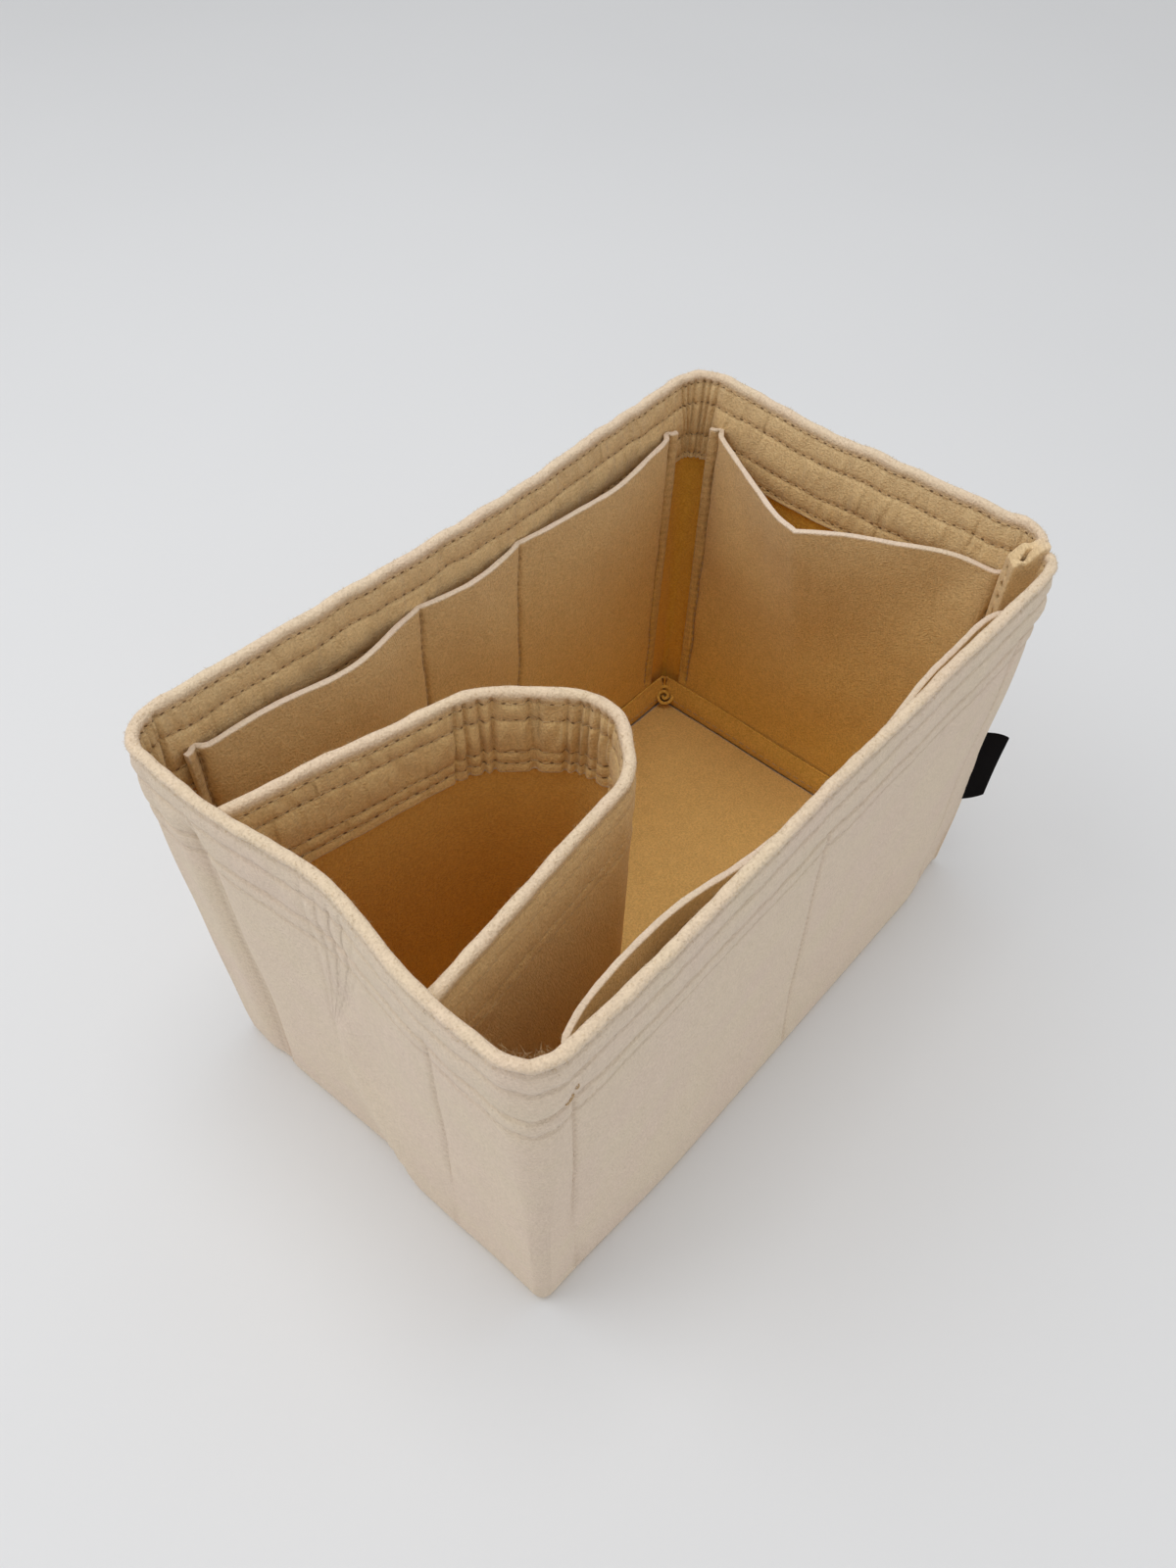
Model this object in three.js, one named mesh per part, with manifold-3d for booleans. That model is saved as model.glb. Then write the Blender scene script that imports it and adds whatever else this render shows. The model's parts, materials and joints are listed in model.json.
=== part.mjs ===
// Soft felt organizer that stands inside a handbag. One long wall strip is hemmed along the
// rim, turned up inside along the bottom to catch the pockets, and closed by a corner seam.
// Three walls carry pocket panels, the fourth a bottle loop, and a folded ribbon tag is caught
// in the corner seam. Millimetres, +Z up, origin in the middle of the underside. +X runs along
// the long side away from the bottle loop, and the wall with two pockets faces -Y.

import * as THREE from 'three';
import { mergeVertices } from 'three/addons/utils/BufferGeometryUtils.js';
import ManifoldModule from 'manifold-3d';

// Overall size, outside the felt
const RIM_LENGTH = 254;
const RIM_WIDTH = 156;
const BASE_LENGTH = 242;
const BASE_WIDTH = 150;
const HEIGHT = 168;
const RIM_CORNER = 14;
const BASE_CORNER = 9;

// Felt and sewing
const FELT = 2;
const GAP = 0.3;
const HEM_DEPTH = 36;
const HEM_LIP = 2.5;
const WELT_HEIGHT = 16;
const SEAM_ALLOWANCE = 8;
const HEM_RAMP = 6;

// How far the middle of each wall leans in at the rim
const FRONT_BOW = 0.6;
const RIGHT_BOW = 2;
const BACK_BOW = 4;
const LEFT_BOW = 5.5;
const BOW_TIGHTNESS = 2;
const LEFT_BOW_TIGHTNESS = 5;

// Pocket panels: seams are set back from the ends of the flat part of their wall
const PANEL_DROP = 19;
const PANEL_LIP = 4;
const BACK_LEFT_SETBACK = 5;
const BACK_RIGHT_SETBACK = 8;
const BACK_MIDDLE_POCKET = 45;
const BACK_BULGE = 6.5;
const FRONT_LEFT_SETBACK = 5;
const FRONT_RIGHT_SETBACK = 8;
const FRONT_DIVIDER_SHIFT = -2;
const FRONT_LEFT_BULGE = 11;
const FRONT_RIGHT_BULGE = 7.5;
const FRONT_LEFT_LEAN = 0.65;
const FRONT_RIGHT_LEAN = 1.6;
const END_FRONT_SETBACK = 8;
const END_BACK_SETBACK = 5;
const END_BULGE = 31;
const END_CREASE_SHIFT = 2;
const END_BACK_CURVE = 0.9;
const END_FRONT_CURVE = 2;
const END_RISE = 1.6;
const MOUTH_RISE = 1.2;

// Bottle loop: a strip sewn to the end wall by a flange at each end. Its tip and the two cheeks
// before the tip are bends. Reach is measured from the end of the rim.
const LOOP_DROP = 7;
const LOOP_HEM_DEPTH = 33;
const LOOP_NEAR_ROOT = 43;
const LOOP_FAR_ROOT = 41;
const LOOP_NEAR_CHEEK = 34;
const LOOP_NEAR_CHEEK_REACH = 93;
const LOOP_TIP = 8;
const LOOP_TIP_REACH = 108;
const LOOP_FAR_CHEEK = 22.5;
const LOOP_FAR_CHEEK_REACH = 80;
const LOOP_FLANGE = 14;
const LOOP_NEAR_BEND = 7;
const LOOP_FAR_BEND = 9;
const LOOP_NEAR_CHEEK_RADIUS = 16;
const LOOP_TIP_RADIUS = 18;
const LOOP_FAR_CHEEK_RADIUS = 36;

// Ribbon tag
const TAG_HEIGHT = 37;
const TAG_REACH = 11;
const TAG_RIBBON = 0.5;
const TAG_RISE = 41;

// Fineness of the facets
const CORNER_STEPS = 6;
const SIDE_STEPS = 8;
const ROLL_STEPS = 6;
const PANEL_ROWS = 6;
const POCKET_STEPS = 9;
const BEND_STEPS = 6;
const RIBBON_STEPS = 6;
const SHARPEST_CORNER = 1;
const MERGE_WITHIN = 1e-4;

const FELT_COLOUR = 0xe6d6bd;
const RIBBON_COLOUR = 0x12100f;

// Worked out from the sizes above
const HEM_THICK = 2 * FELT + GAP;
const HEM_EDGE = HEIGHT - HEM_DEPTH;
const CHANNEL = FELT + 2 * GAP;
const FOLD_INNER = CHANNEL / 2;
const FOLD_OUTER = FOLD_INNER + FELT;
const PANEL_FOOT = FOLD_OUTER;
const LOOP_FOOT = WELT_HEIGHT + GAP;
const SEAT_PLAIN = FELT + GAP;
const SEAT_HEM = HEM_THICK + GAP;
const SEAT_RAMP_TOP = HEM_EDGE - FELT;
const SEAT_RAMP_BOTTOM = SEAT_RAMP_TOP - HEM_RAMP;
const PANEL_TOP = HEIGHT - PANEL_DROP;

const { lerp, clamp, smoothstep } = THREE.MathUtils;

// The four walls in order round the box, seen from above against the clock
const FRONT = { out: [0, -1], along: [1, 0], bow: FRONT_BOW, tightness: BOW_TIGHTNESS, isEnd: false };
const RIGHT = { out: [1, 0], along: [0, 1], bow: RIGHT_BOW, tightness: BOW_TIGHTNESS, isEnd: true };
const BACK = { out: [0, 1], along: [-1, 0], bow: BACK_BOW, tightness: BOW_TIGHTNESS, isEnd: false };
const LEFT = { out: [-1, 0], along: [0, -1], bow: LEFT_BOW, tightness: LEFT_BOW_TIGHTNESS, isEnd: true };
const WALLS = [FRONT, RIGHT, BACK, LEFT];

const halfLength = (z) => lerp(BASE_LENGTH, RIM_LENGTH, z / HEIGHT) / 2;
const halfWidth = (z) => lerp(BASE_WIDTH, RIM_WIDTH, z / HEIGHT) / 2;

// Plan of the box at height z, `inset` inside the outer face: how far out a wall stands,
// how far its flat part reaches to each side, and its corner radius.
function wallPlan(wall, z, inset) {
  const corner = Math.max(lerp(BASE_CORNER, RIM_CORNER, z / HEIGHT) - inset, SHARPEST_CORNER);
  const length = halfLength(z) - inset;
  const width = halfWidth(z) - inset;
  const stand = wall.isEnd ? length : width;
  const flat = (wall.isEnd ? width : length) - corner;
  return { stand, flat, corner };
}

function planPoint(wall, outward, sideways, z) {
  const x = wall.out[0] * outward + wall.along[0] * sideways;
  const y = wall.out[1] * outward + wall.along[1] * sideways;
  return new THREE.Vector3(x, y, z);
}

// A point on a wall, `s` along it from its middle. The rim bows in between the corners.
function wallFace(wall, s, z, inset) {
  const { stand, flat } = wallPlan(wall, z, inset);
  const t = clamp(s / flat, -1, 1);
  const bow = wall.bow * (z / HEIGHT) * (1 - t * t) ** wall.tightness;
  return planPoint(wall, stand - bow, s, z);
}

// A point on the round corner after a wall, `turn` from 0 to 1 round it.
function cornerPoint(wall, turn, z, inset) {
  const { stand, flat, corner } = wallPlan(wall, z, inset);
  const angle = (turn * Math.PI) / 2;
  const outward = stand - corner + corner * Math.cos(angle);
  return planPoint(wall, outward, flat + corner * Math.sin(angle), z);
}

// Stations round the whole box, each a function of height and inset.
function boxStations() {
  const stations = [];
  for (const wall of WALLS) {
    for (let i = 0; i <= SIDE_STEPS; i += 1) {
      const t = (2 * i) / SIDE_STEPS - 1;
      stations.push((z, inset) => wallFace(wall, t * wallPlan(wall, z, inset).flat, z, inset));
    }
    for (let i = 1; i < CORNER_STEPS; i += 1) {
      stations.push((z, inset) => cornerPoint(wall, i / CORNER_STEPS, z, inset));
    }
  }
  return stations;
}

function bodyFromTriangles(points, index) {
  const geometry = new THREE.BufferGeometry();
  const flatList = points.flatMap((p) => [p.x, p.y, p.z]);
  geometry.setAttribute('position', new THREE.Float32BufferAttribute(flatList, 3));
  geometry.setIndex(index);
  geometry.computeVertexNormals();
  return geometry;
}

// Joins equal outlines, one after the other, into a closed body. With `caps`, the triangles
// of one outline, the two ends are closed; without, the last outline joins the first.
function loft(rings, caps) {
  const count = rings[0].length;
  const index = [];
  const spans = caps ? rings.length - 1 : rings.length;
  for (let i = 0; i < spans; i += 1) {
    const here = i * count;
    const next = ((i + 1) % rings.length) * count;
    for (let j = 0; j < count; j += 1) {
      const k = (j + 1) % count;
      index.push(here + j, here + k, next + k);
      index.push(here + j, next + k, next + j);
    }
  }
  if (caps) {
    const last = (rings.length - 1) * count;
    for (const [a, b, c] of caps) {
      index.push(a, c, b);
      index.push(last + a, last + b, last + c);
    }
  }
  return bodyFromTriangles(rings.flat(), index);
}

// Outline of a felt strip doubled over at the top: [depth from the outer face, height] pairs.
// The raw edge of the hem stands clear of the strip below the lowest row of stitches.
function hemmedOutline(foot, bottom, top, hem) {
  const roll = HEM_THICK / 2;
  const edge = top - hem;
  const outline = [...foot];
  outline.push([FELT, edge + HEM_LIP]);
  outline.push([FELT + GAP, edge + HEM_LIP]);
  outline.push([FELT + GAP, edge]);
  outline.push([HEM_THICK, edge]);
  for (let i = 0; i <= ROLL_STEPS; i += 1) {
    const angle = (i * Math.PI) / ROLL_STEPS;
    outline.push([roll + roll * Math.cos(angle), top - roll + roll * Math.sin(angle)]);
  }
  outline.push([0, bottom]);
  return outline;
}

// Adds a point to an outline wherever one of its sides passes one of the heights.
function splitAtHeights(outline, heights) {
  return outline.flatMap(([u, z], i) => {
    const [nextU, nextZ] = outline[(i + 1) % outline.length];
    const passed = heights.filter((h) => (h - z) * (h - nextZ) < 0);
    passed.sort((a, b) => Math.abs(a - z) - Math.abs(b - z));
    const added = passed.map((h) => [lerp(u, nextU, (h - z) / (nextZ - z)), h]);
    return [[u, z], ...added];
  });
}

function capTriangles(outline) {
  const points = outline.map(([u, z]) => new THREE.Vector2(u, z));
  return THREE.ShapeUtils.triangulateShape(points, []);
}

const wasm = await ManifoldModule();
wasm.setup();

function toManifold(geometry) {
  const bare = geometry.clone();
  bare.deleteAttribute('normal');
  bare.deleteAttribute('uv');
  const merged = mergeVertices(bare, MERGE_WITHIN);
  const vertProperties = new Float32Array(merged.attributes.position.array);
  const triVerts = new Uint32Array(merged.index.array);
  return new wasm.Manifold(new wasm.Mesh({ numProp: 3, vertProperties, triVerts }));
}

function fromManifold(manifold) {
  const { vertProperties, triVerts } = manifold.getMesh();
  const geometry = new THREE.BufferGeometry();
  geometry.setAttribute('position', new THREE.BufferAttribute(vertProperties, 3));
  geometry.setIndex(new THREE.BufferAttribute(triVerts, 1));
  geometry.computeVertexNormals();
  return geometry;
}

// A plank that stands in the corner seam and leans with it, from `from` to `to` inside the
// outer face, between two heights.
function seamPlank(thickness, from, to, bottom, top) {
  const sideways = new THREE.Vector3(1, 1, 0).normalize().multiplyScalar(thickness / 2);
  const inward = new THREE.Vector3(-1, 1, 0).normalize();
  const ring = (z) => {
    const corner = cornerPoint(FRONT, 0.5, z, 0);
    const outer = corner.clone().addScaledVector(inward, from);
    const inner = corner.clone().addScaledVector(inward, to);
    return [
      outer.clone().sub(sideways),
      outer.clone().add(sideways),
      inner.clone().add(sideways),
      inner.clone().sub(sideways),
    ];
  };
  return loft([ring(bottom), ring(top)], [[0, 1, 2], [0, 2, 3]]);
}

// A half circle under the bottom fold, as [depth, height] pairs from `start` to `end`, angles
// in half turns.
function bottomArc(radius, start, end) {
  const pairs = [];
  for (let i = 0; i <= ROLL_STEPS; i += 1) {
    const angle = lerp(start, end, i / ROLL_STEPS) * Math.PI;
    pairs.push([FOLD_OUTER + radius * Math.cos(angle), FOLD_OUTER + radius * Math.sin(angle)]);
  }
  return pairs;
}

// The wall strip: rolled hem at the rim, bottom edge folded up inside as a welt, which leaves
// a channel for the feet of the pocket panels. Both ends turn in at the corner seam as
// allowances that lie against each other.
function wallStrip() {
  const under = bottomArc(FOLD_OUTER, 1, 2);
  const foot = [
    ...under.slice(1),
    [2 * FOLD_OUTER, WELT_HEIGHT],
    [FELT + CHANNEL, WELT_HEIGHT],
    ...bottomArc(FOLD_INNER, 2, 1),
  ];
  const outline = hemmedOutline(foot, FOLD_OUTER, HEIGHT, HEM_DEPTH);
  const rings = boxStations().map((at) => outline.map(([u, z]) => at(z, u)));
  const allowanceEnd = HEM_THICK + SEAM_ALLOWANCE;
  const allowanceTop = HEIGHT - HEM_THICK / 2;
  const allowances = seamPlank(HEM_THICK, FELT / 2, allowanceEnd, FOLD_OUTER, allowanceTop);
  const seam = seamPlank(GAP, -FELT, allowanceEnd + FELT, -FELT, HEIGHT + FELT);
  const joined = toManifold(loft(rings)).add(toManifold(allowances));
  return fromManifold(joined.subtract(toManifold(seam)));
}

// The base panel fills the bottom inside the fold of the wall strip.
function basePanel() {
  const outline = boxStations().map((at) => at(0, 2 * FOLD_OUTER + GAP));
  const shape = new THREE.Shape(outline.map((p) => new THREE.Vector2(p.x, p.y)));
  return new THREE.ExtrudeGeometry(shape, { depth: FELT, bevelEnabled: false });
}

// Inset at which a piece lies against the inside of a wall: further in where the hem is.
function seat(z) {
  return lerp(SEAT_PLAIN, SEAT_HEM, smoothstep(z, SEAT_RAMP_BOTTOM, SEAT_RAMP_TOP));
}

// A pocket panel: one sheet of felt that stands in the channel against a wall. `bulge` gives
// how far it stands off, from a place along the wall and a share of the height over the welt.
function pocketPanel(wall, columns, bulge) {
  const rows = [PANEL_FOOT];
  for (let i = 0; i < PANEL_ROWS; i += 1) {
    rows.push(lerp(WELT_HEIGHT, SEAT_RAMP_BOTTOM, i / (PANEL_ROWS - 1)));
  }
  rows.push(SEAT_RAMP_TOP, PANEL_TOP);
  const middle = (s, z) => {
    const share = Math.max(0, (z - WELT_HEIGHT) / (PANEL_TOP - WELT_HEIGHT));
    return wallFace(wall, s, z, seat(z) + FELT / 2 + bulge(s, share));
  };
  const step = FELT / 2;
  const [first, last] = [columns[0], columns[columns.length - 1]];
  const normal = (s, z) => {
    const across = middle(Math.min(s + step, last), z).sub(middle(Math.max(s - step, first), z));
    const up = middle(s, Math.min(z + step, PANEL_TOP)).sub(middle(s, Math.max(z - step, PANEL_FOOT)));
    return up.cross(across).normalize();
  };
  const rings = columns.map((s) => {
    const inner = rows.map((z) => middle(s, z).addScaledVector(normal(s, z), FELT / 2));
    const outer = rows.map((z) => middle(s, z).addScaledVector(normal(s, z), -FELT / 2));
    return [...inner, ...outer.reverse()];
  });
  const caps = [];
  const count = 2 * rows.length;
  for (let i = 0; i < rows.length - 1; i += 1) {
    caps.push([i, i + 1, count - 2 - i], [i, count - 2 - i, count - 1 - i]);
  }
  return loft(rings, caps);
}

// Columns of a panel: its two free lips and an even spread over each pocket between seams.
function panelColumns(seams) {
  const columns = [seams[0] - PANEL_LIP];
  for (let p = 0; p < seams.length - 1; p += 1) {
    for (let i = 0; i < POCKET_STEPS; i += 1) {
      columns.push(lerp(seams[p], seams[p + 1], i / POCKET_STEPS));
    }
  }
  const end = seams[seams.length - 1];
  return [...columns, end, end + PANEL_LIP];
}

// Stand-off of a row of pockets: nothing at the seams and the foot, most at the mouth. A lean
// under 1 moves the fullest place towards a pocket's first seam, over 1 towards its last.
function pocketBulge(seams, depths, leans) {
  return (s, share) => {
    const p = depths.findIndex((depth, i) => s > seams[i] && s < seams[i + 1]);
    if (p < 0) {
      return 0;
    }
    const t = ((s - seams[p]) / (seams[p + 1] - seams[p])) ** leans[p];
    return depths[p] * Math.sin(Math.PI * t) * share ** MOUTH_RISE;
  };
}

// Half the flat part of a wall, at the height where it is shortest.
function flatReach(wall) {
  return Math.min(wallPlan(wall, 0, 0).flat, wallPlan(wall, HEIGHT, 0).flat);
}

// Three pockets on the back wall, a narrow one between two wide ones.
function backPocketPanel() {
  const reach = flatReach(BACK);
  const right = BACK_RIGHT_SETBACK - reach;
  const left = reach - BACK_LEFT_SETBACK;
  const middle = (left + right) / 2;
  const half = BACK_MIDDLE_POCKET / 2;
  const seams = [right, middle - half, middle + half, left];
  const depths = [BACK_BULGE, BACK_BULGE, BACK_BULGE];
  return pocketPanel(BACK, panelColumns(seams), pocketBulge(seams, depths, [1, 1, 1]));
}

// Two pockets on the front wall.
function frontPocketPanel() {
  const reach = flatReach(FRONT);
  const seams = [FRONT_LEFT_SETBACK - reach, FRONT_DIVIDER_SHIFT, reach - FRONT_RIGHT_SETBACK];
  const depths = [FRONT_LEFT_BULGE, FRONT_RIGHT_BULGE];
  const leans = [FRONT_LEFT_LEAN, FRONT_RIGHT_LEAN];
  return pocketPanel(FRONT, panelColumns(seams), pocketBulge(seams, depths, leans));
}

// One wide pocket on the right end wall. Its slack stands out at a crease down the middle,
// steep on the front side and full on the back side.
function endPocketPanel() {
  const reach = flatReach(RIGHT);
  const seams = [END_FRONT_SETBACK - reach, END_CREASE_SHIFT, reach - END_BACK_SETBACK];
  const bulge = (s, share) => {
    const beyond = s > END_CREASE_SHIFT;
    const seam = beyond ? seams[2] : seams[0];
    const t = clamp((seam - s) / (seam - END_CREASE_SHIFT), 0, 1);
    const curve = beyond ? END_BACK_CURVE : END_FRONT_CURVE;
    return END_BULGE * t ** curve * share ** END_RISE;
  };
  return pocketPanel(RIGHT, panelColumns(seams), bulge);
}

// A path of straight runs with round bends: each stop has a point and the way to its left.
function bentPath(corners, radii) {
  const stops = [];
  const left = (d) => new THREE.Vector2(-d.y, d.x);
  const heading = (i) => corners[i + 1].clone().sub(corners[i]).normalize();
  stops.push({ point: corners[0].clone(), left: left(heading(0)) });
  for (let i = 1; i < corners.length - 1; i += 1) {
    const before = heading(i - 1);
    const after = heading(i);
    const turn = Math.atan2(before.cross(after), before.dot(after));
    const run = radii[i] * Math.tan(Math.abs(turn) / 2);
    const start = corners[i].clone().addScaledVector(before, -run);
    const centre = start.clone().addScaledVector(left(before), Math.sign(turn) * radii[i]);
    for (let j = 0; j <= BEND_STEPS; j += 1) {
      const angle = (turn * j) / BEND_STEPS;
      const point = start.clone().rotateAround(centre, angle);
      stops.push({ point, left: left(before).rotateAround(new THREE.Vector2(), angle) });
    }
  }
  const end = corners.length - 1;
  stops.push({ point: corners[end].clone(), left: left(heading(end - 1)) });
  return stops;
}

// The bottle loop: a hemmed strip round a bottle, hem inside. Its near flange turns in under
// the loop and its far flange turns out, and both lie against the left end wall.
function bottleLoop() {
  const top = HEIGHT - LOOP_DROP;
  const plain = hemmedOutline([[FELT, LOOP_FOOT]], LOOP_FOOT, top, LOOP_HEM_DEPTH);
  const outline = splitAtHeights(plain, [SEAT_RAMP_BOTTOM, SEAT_RAMP_TOP]);
  const cheekRadii = [LOOP_NEAR_CHEEK_RADIUS, LOOP_TIP_RADIUS, LOOP_FAR_CHEEK_RADIUS];
  const radii = [0, LOOP_NEAR_BEND, ...cheekRadii, LOOP_FAR_BEND, 0];
  const inside = (reach, y) => new THREE.Vector2(reach - RIM_LENGTH / 2, y);
  const onWall = (y, z, inset) => {
    const p = wallFace(LEFT, -y, z, inset);
    return new THREE.Vector2(p.x, p.y);
  };
  const stopsAt = (z) => bentPath([
    onWall(LOOP_FLANGE - LOOP_NEAR_ROOT, z, seat(z)),
    onWall(-LOOP_NEAR_ROOT, z, seat(z)),
    inside(LOOP_NEAR_CHEEK_REACH, -LOOP_NEAR_CHEEK),
    inside(LOOP_TIP_REACH, -LOOP_TIP),
    inside(LOOP_FAR_CHEEK_REACH, LOOP_FAR_CHEEK),
    onWall(LOOP_FAR_ROOT, z, seat(z) + HEM_THICK),
    onWall(LOOP_FAR_ROOT + LOOP_FLANGE, z, seat(z) + HEM_THICK),
  ], radii);
  const count = stopsAt(LOOP_FOOT).length;
  const rings = [];
  for (let i = 0; i < count; i += 1) {
    rings.push(outline.map(([u, z]) => {
      const { point, left } = stopsAt(z)[i];
      return new THREE.Vector3(point.x + left.x * u, point.y + left.y * u, z);
    }));
  }
  return loft(rings, capTriangles(outline));
}

// The tag: a ribbon folded double, its fold outward and its round root just clear of the seam.
function labelTag() {
  const thick = 2 * TAG_RIBBON + GAP;
  const half = thick / 2;
  const slot = GAP / 2;
  const shape = new THREE.Shape();
  shape.absarc(TAG_REACH - half, 0, half, -Math.PI / 2, Math.PI / 2);
  shape.absarc(0, 0, half, Math.PI / 2, 1.5 * Math.PI);
  const hollow = new THREE.Path();
  hollow.absarc(TAG_REACH - half, 0, slot, -Math.PI / 2, Math.PI / 2);
  hollow.lineTo(half, slot);
  hollow.lineTo(half, -slot);
  shape.holes.push(hollow);
  const strip = { depth: TAG_HEIGHT, bevelEnabled: false, curveSegments: RIBBON_STEPS };
  return new THREE.ExtrudeGeometry(shape, strip);
}

function felt() {
  return new THREE.MeshStandardMaterial({ color: FELT_COLOUR, roughness: 0.95, metalness: 0 });
}

function ribbon() {
  return new THREE.MeshStandardMaterial({ color: RIBBON_COLOUR, roughness: 0.6, metalness: 0 });
}

function named(name, geometry, material) {
  const mesh = new THREE.Mesh(geometry, material);
  mesh.name = name;
  return mesh;
}

const organizer = new THREE.Group();
organizer.add(named('wall_strip', wallStrip(), felt()));
organizer.add(named('base_panel', basePanel(), felt()));
organizer.add(named('back_pocket_panel', backPocketPanel(), felt()));
organizer.add(named('front_pocket_panel', frontPocketPanel(), felt()));
organizer.add(named('end_pocket_panel', endPocketPanel(), felt()));
organizer.add(named('bottle_loop', bottleLoop(), felt()));

// The tag stands on the line of the corner seam and points straight out of the corner.
const seamFoot = cornerPoint(FRONT, 0.5, TAG_RISE, 0);
const seamHead = cornerPoint(FRONT, 0.5, TAG_RISE + TAG_HEIGHT, 0);
const tag = named('label_tag', labelTag(), ribbon());
const upSeam = seamHead.clone().sub(seamFoot).normalize();
const outSeam = new THREE.Vector3(1, -1, 0).normalize();
const acrossSeam = new THREE.Vector3().crossVectors(upSeam, outSeam).normalize();
const squareOut = new THREE.Vector3().crossVectors(acrossSeam, upSeam);
tag.applyMatrix4(new THREE.Matrix4().makeBasis(squareOut, acrossSeam, upSeam));
tag.position.copy(seamFoot).addScaledVector(squareOut, TAG_RIBBON + GAP / 2 + GAP);
organizer.add(tag);

export default organizer;
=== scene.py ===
# %% [markdown]
# A felt organizer for a handbag.
#
# The object is a soft box sewn from cream needled felt, 2 mm thick. One long strip makes all four
# walls: it is rolled in along the rim as a deep hem with four rows of stitches, turned up inside
# along the bottom, and closed by a seam in one corner. Pocket panels hang on three walls, a hemmed
# strip makes a bottle loop on the fourth, and a folded black ribbon is caught in the corner seam.
#
# Felt has no weave and no stretch to speak of, so it could be simulated as cloth, but its look
# comes from where it is sewn: grooves along the stitches, puckers between them and creases at the
# corners. Those are easier to place one by one. So every piece here is one grid of points along the
# middle of its felt, which a single helper turns into a closed sheet with two faces and cut edges.
# The rim, the height and the base are read from the frame. The outer radii of the rolled rim and of
# the fold along the bottom follow from the felt and the small gaps between its layers.

# %% Load the frame and name the driving sizes
import json
import math
from collections import namedtuple

import bpy
import numpy as np
from mathutils import Matrix, Vector


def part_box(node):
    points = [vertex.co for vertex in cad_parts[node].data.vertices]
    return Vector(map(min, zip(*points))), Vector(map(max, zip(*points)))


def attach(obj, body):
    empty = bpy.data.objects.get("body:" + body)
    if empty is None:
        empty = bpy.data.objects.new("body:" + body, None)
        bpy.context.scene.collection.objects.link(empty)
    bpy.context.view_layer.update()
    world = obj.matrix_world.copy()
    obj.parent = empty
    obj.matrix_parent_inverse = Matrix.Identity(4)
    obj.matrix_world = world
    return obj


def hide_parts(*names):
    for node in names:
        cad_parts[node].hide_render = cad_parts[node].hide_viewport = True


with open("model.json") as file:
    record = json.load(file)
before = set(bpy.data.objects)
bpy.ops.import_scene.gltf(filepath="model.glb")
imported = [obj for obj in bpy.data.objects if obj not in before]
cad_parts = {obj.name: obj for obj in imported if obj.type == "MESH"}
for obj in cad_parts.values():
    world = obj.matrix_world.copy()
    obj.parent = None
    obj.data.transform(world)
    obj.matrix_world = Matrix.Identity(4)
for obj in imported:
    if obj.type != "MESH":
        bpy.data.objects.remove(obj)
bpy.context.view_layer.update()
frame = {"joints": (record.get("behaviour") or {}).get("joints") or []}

MM = 0.001
SEED = 20


def node_box(node):
    """Lowest and highest corner of a frame node, in millimetres."""
    return [np.array(corner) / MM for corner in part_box(node)]


FELT = 2.0
HALF_FELT = FELT / 2
GAP = 0.3
ROLL = FELT + GAP / 2
FOLD = FELT + (FELT + 2 * GAP) / 2
wall_high = node_box("wall_strip")[1]
base_high = node_box("base_panel")[1]
HEIGHT = wall_high[2]
RIM = 2 * wall_high[:2]
BASE = 2 * (base_high[:2] + 2 * FOLD + GAP)
print("rim", RIM.round(1), "base", BASE.round(1), "height", HEIGHT.round(1), "mm")

# %% [markdown]
# The plan of the box.
#
# Each wall is a flat stretch between two round corners. The base is a little smaller than the rim,
# and the rim bows in between the corners, because felt walls are slack. A place on a wall is given
# by a distance along it, a height and an inset from the outer face, so that every layer of the hem
# and every panel can be laid against the same wall. A soft box never stands quite square: the rim
# leans a little, which one shift in `plan_point` gives to all the pieces at once.

# %% Walls, corners and small helpers
Wall = namedtuple("Wall", "out along bow tightness is_end")
FRONT = Wall((0, -1), (1, 0), 0.6, 2, False)
RIGHT = Wall((1, 0), (0, 1), 2.0, 2, True)
BACK = Wall((0, 1), (-1, 0), 4.0, 2, False)
LEFT = Wall((-1, 0), (0, -1), 5.5, 5, True)
RIM_CORNER = 14.0
BASE_CORNER = 4.0
SHARPEST_CORNER = 1.0
LEAN = (-2.3, -2.2)


def lerp(a, b, t):
    return a + (b - a) * t


def smooth(x, start, end):
    t = np.clip((x - start) / (end - start), 0, 1)
    return t * t * (3 - 2 * t)


def bell(x, width):
    return np.exp(-((x / width) ** 2))


def unit(vectors):
    return vectors / np.maximum(np.linalg.norm(vectors, axis=-1, keepdims=True), 1e-9)


def wall_plan(wall, z, inset):
    """How far out a wall stands, half its flat stretch and its corner radius."""
    share = z / HEIGHT
    corner = np.maximum(lerp(BASE_CORNER, RIM_CORNER, share**2) - inset, SHARPEST_CORNER)
    length, width = (lerp(BASE[i], RIM[i], share) / 2 - inset for i in (0, 1))
    stand, side = (length, width) if wall.is_end else (width, length)
    return stand, side - corner, corner


def plan_point(wall, outward, sideways, z):
    settle = (z / HEIGHT) ** 2
    x = wall.out[0] * outward + wall.along[0] * sideways + LEAN[0] * settle
    y = wall.out[1] * outward + wall.along[1] * sideways + LEAN[1] * settle
    return np.stack(np.broadcast_arrays(x, y, z), -1)


def wall_face(wall, s, z, inset):
    stand, flat, _ = wall_plan(wall, z, inset)
    t = np.clip(s / flat, -1, 1)
    bow = wall.bow * (z / HEIGHT) * (1 - t * t) ** wall.tightness
    if wall is LEFT:
        bow = bow - end_wall_dents(s, z)
    if wall is FRONT:
        bow = bow - front_foot(s, z)
    return plan_point(wall, stand - bow, s, z)


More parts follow.
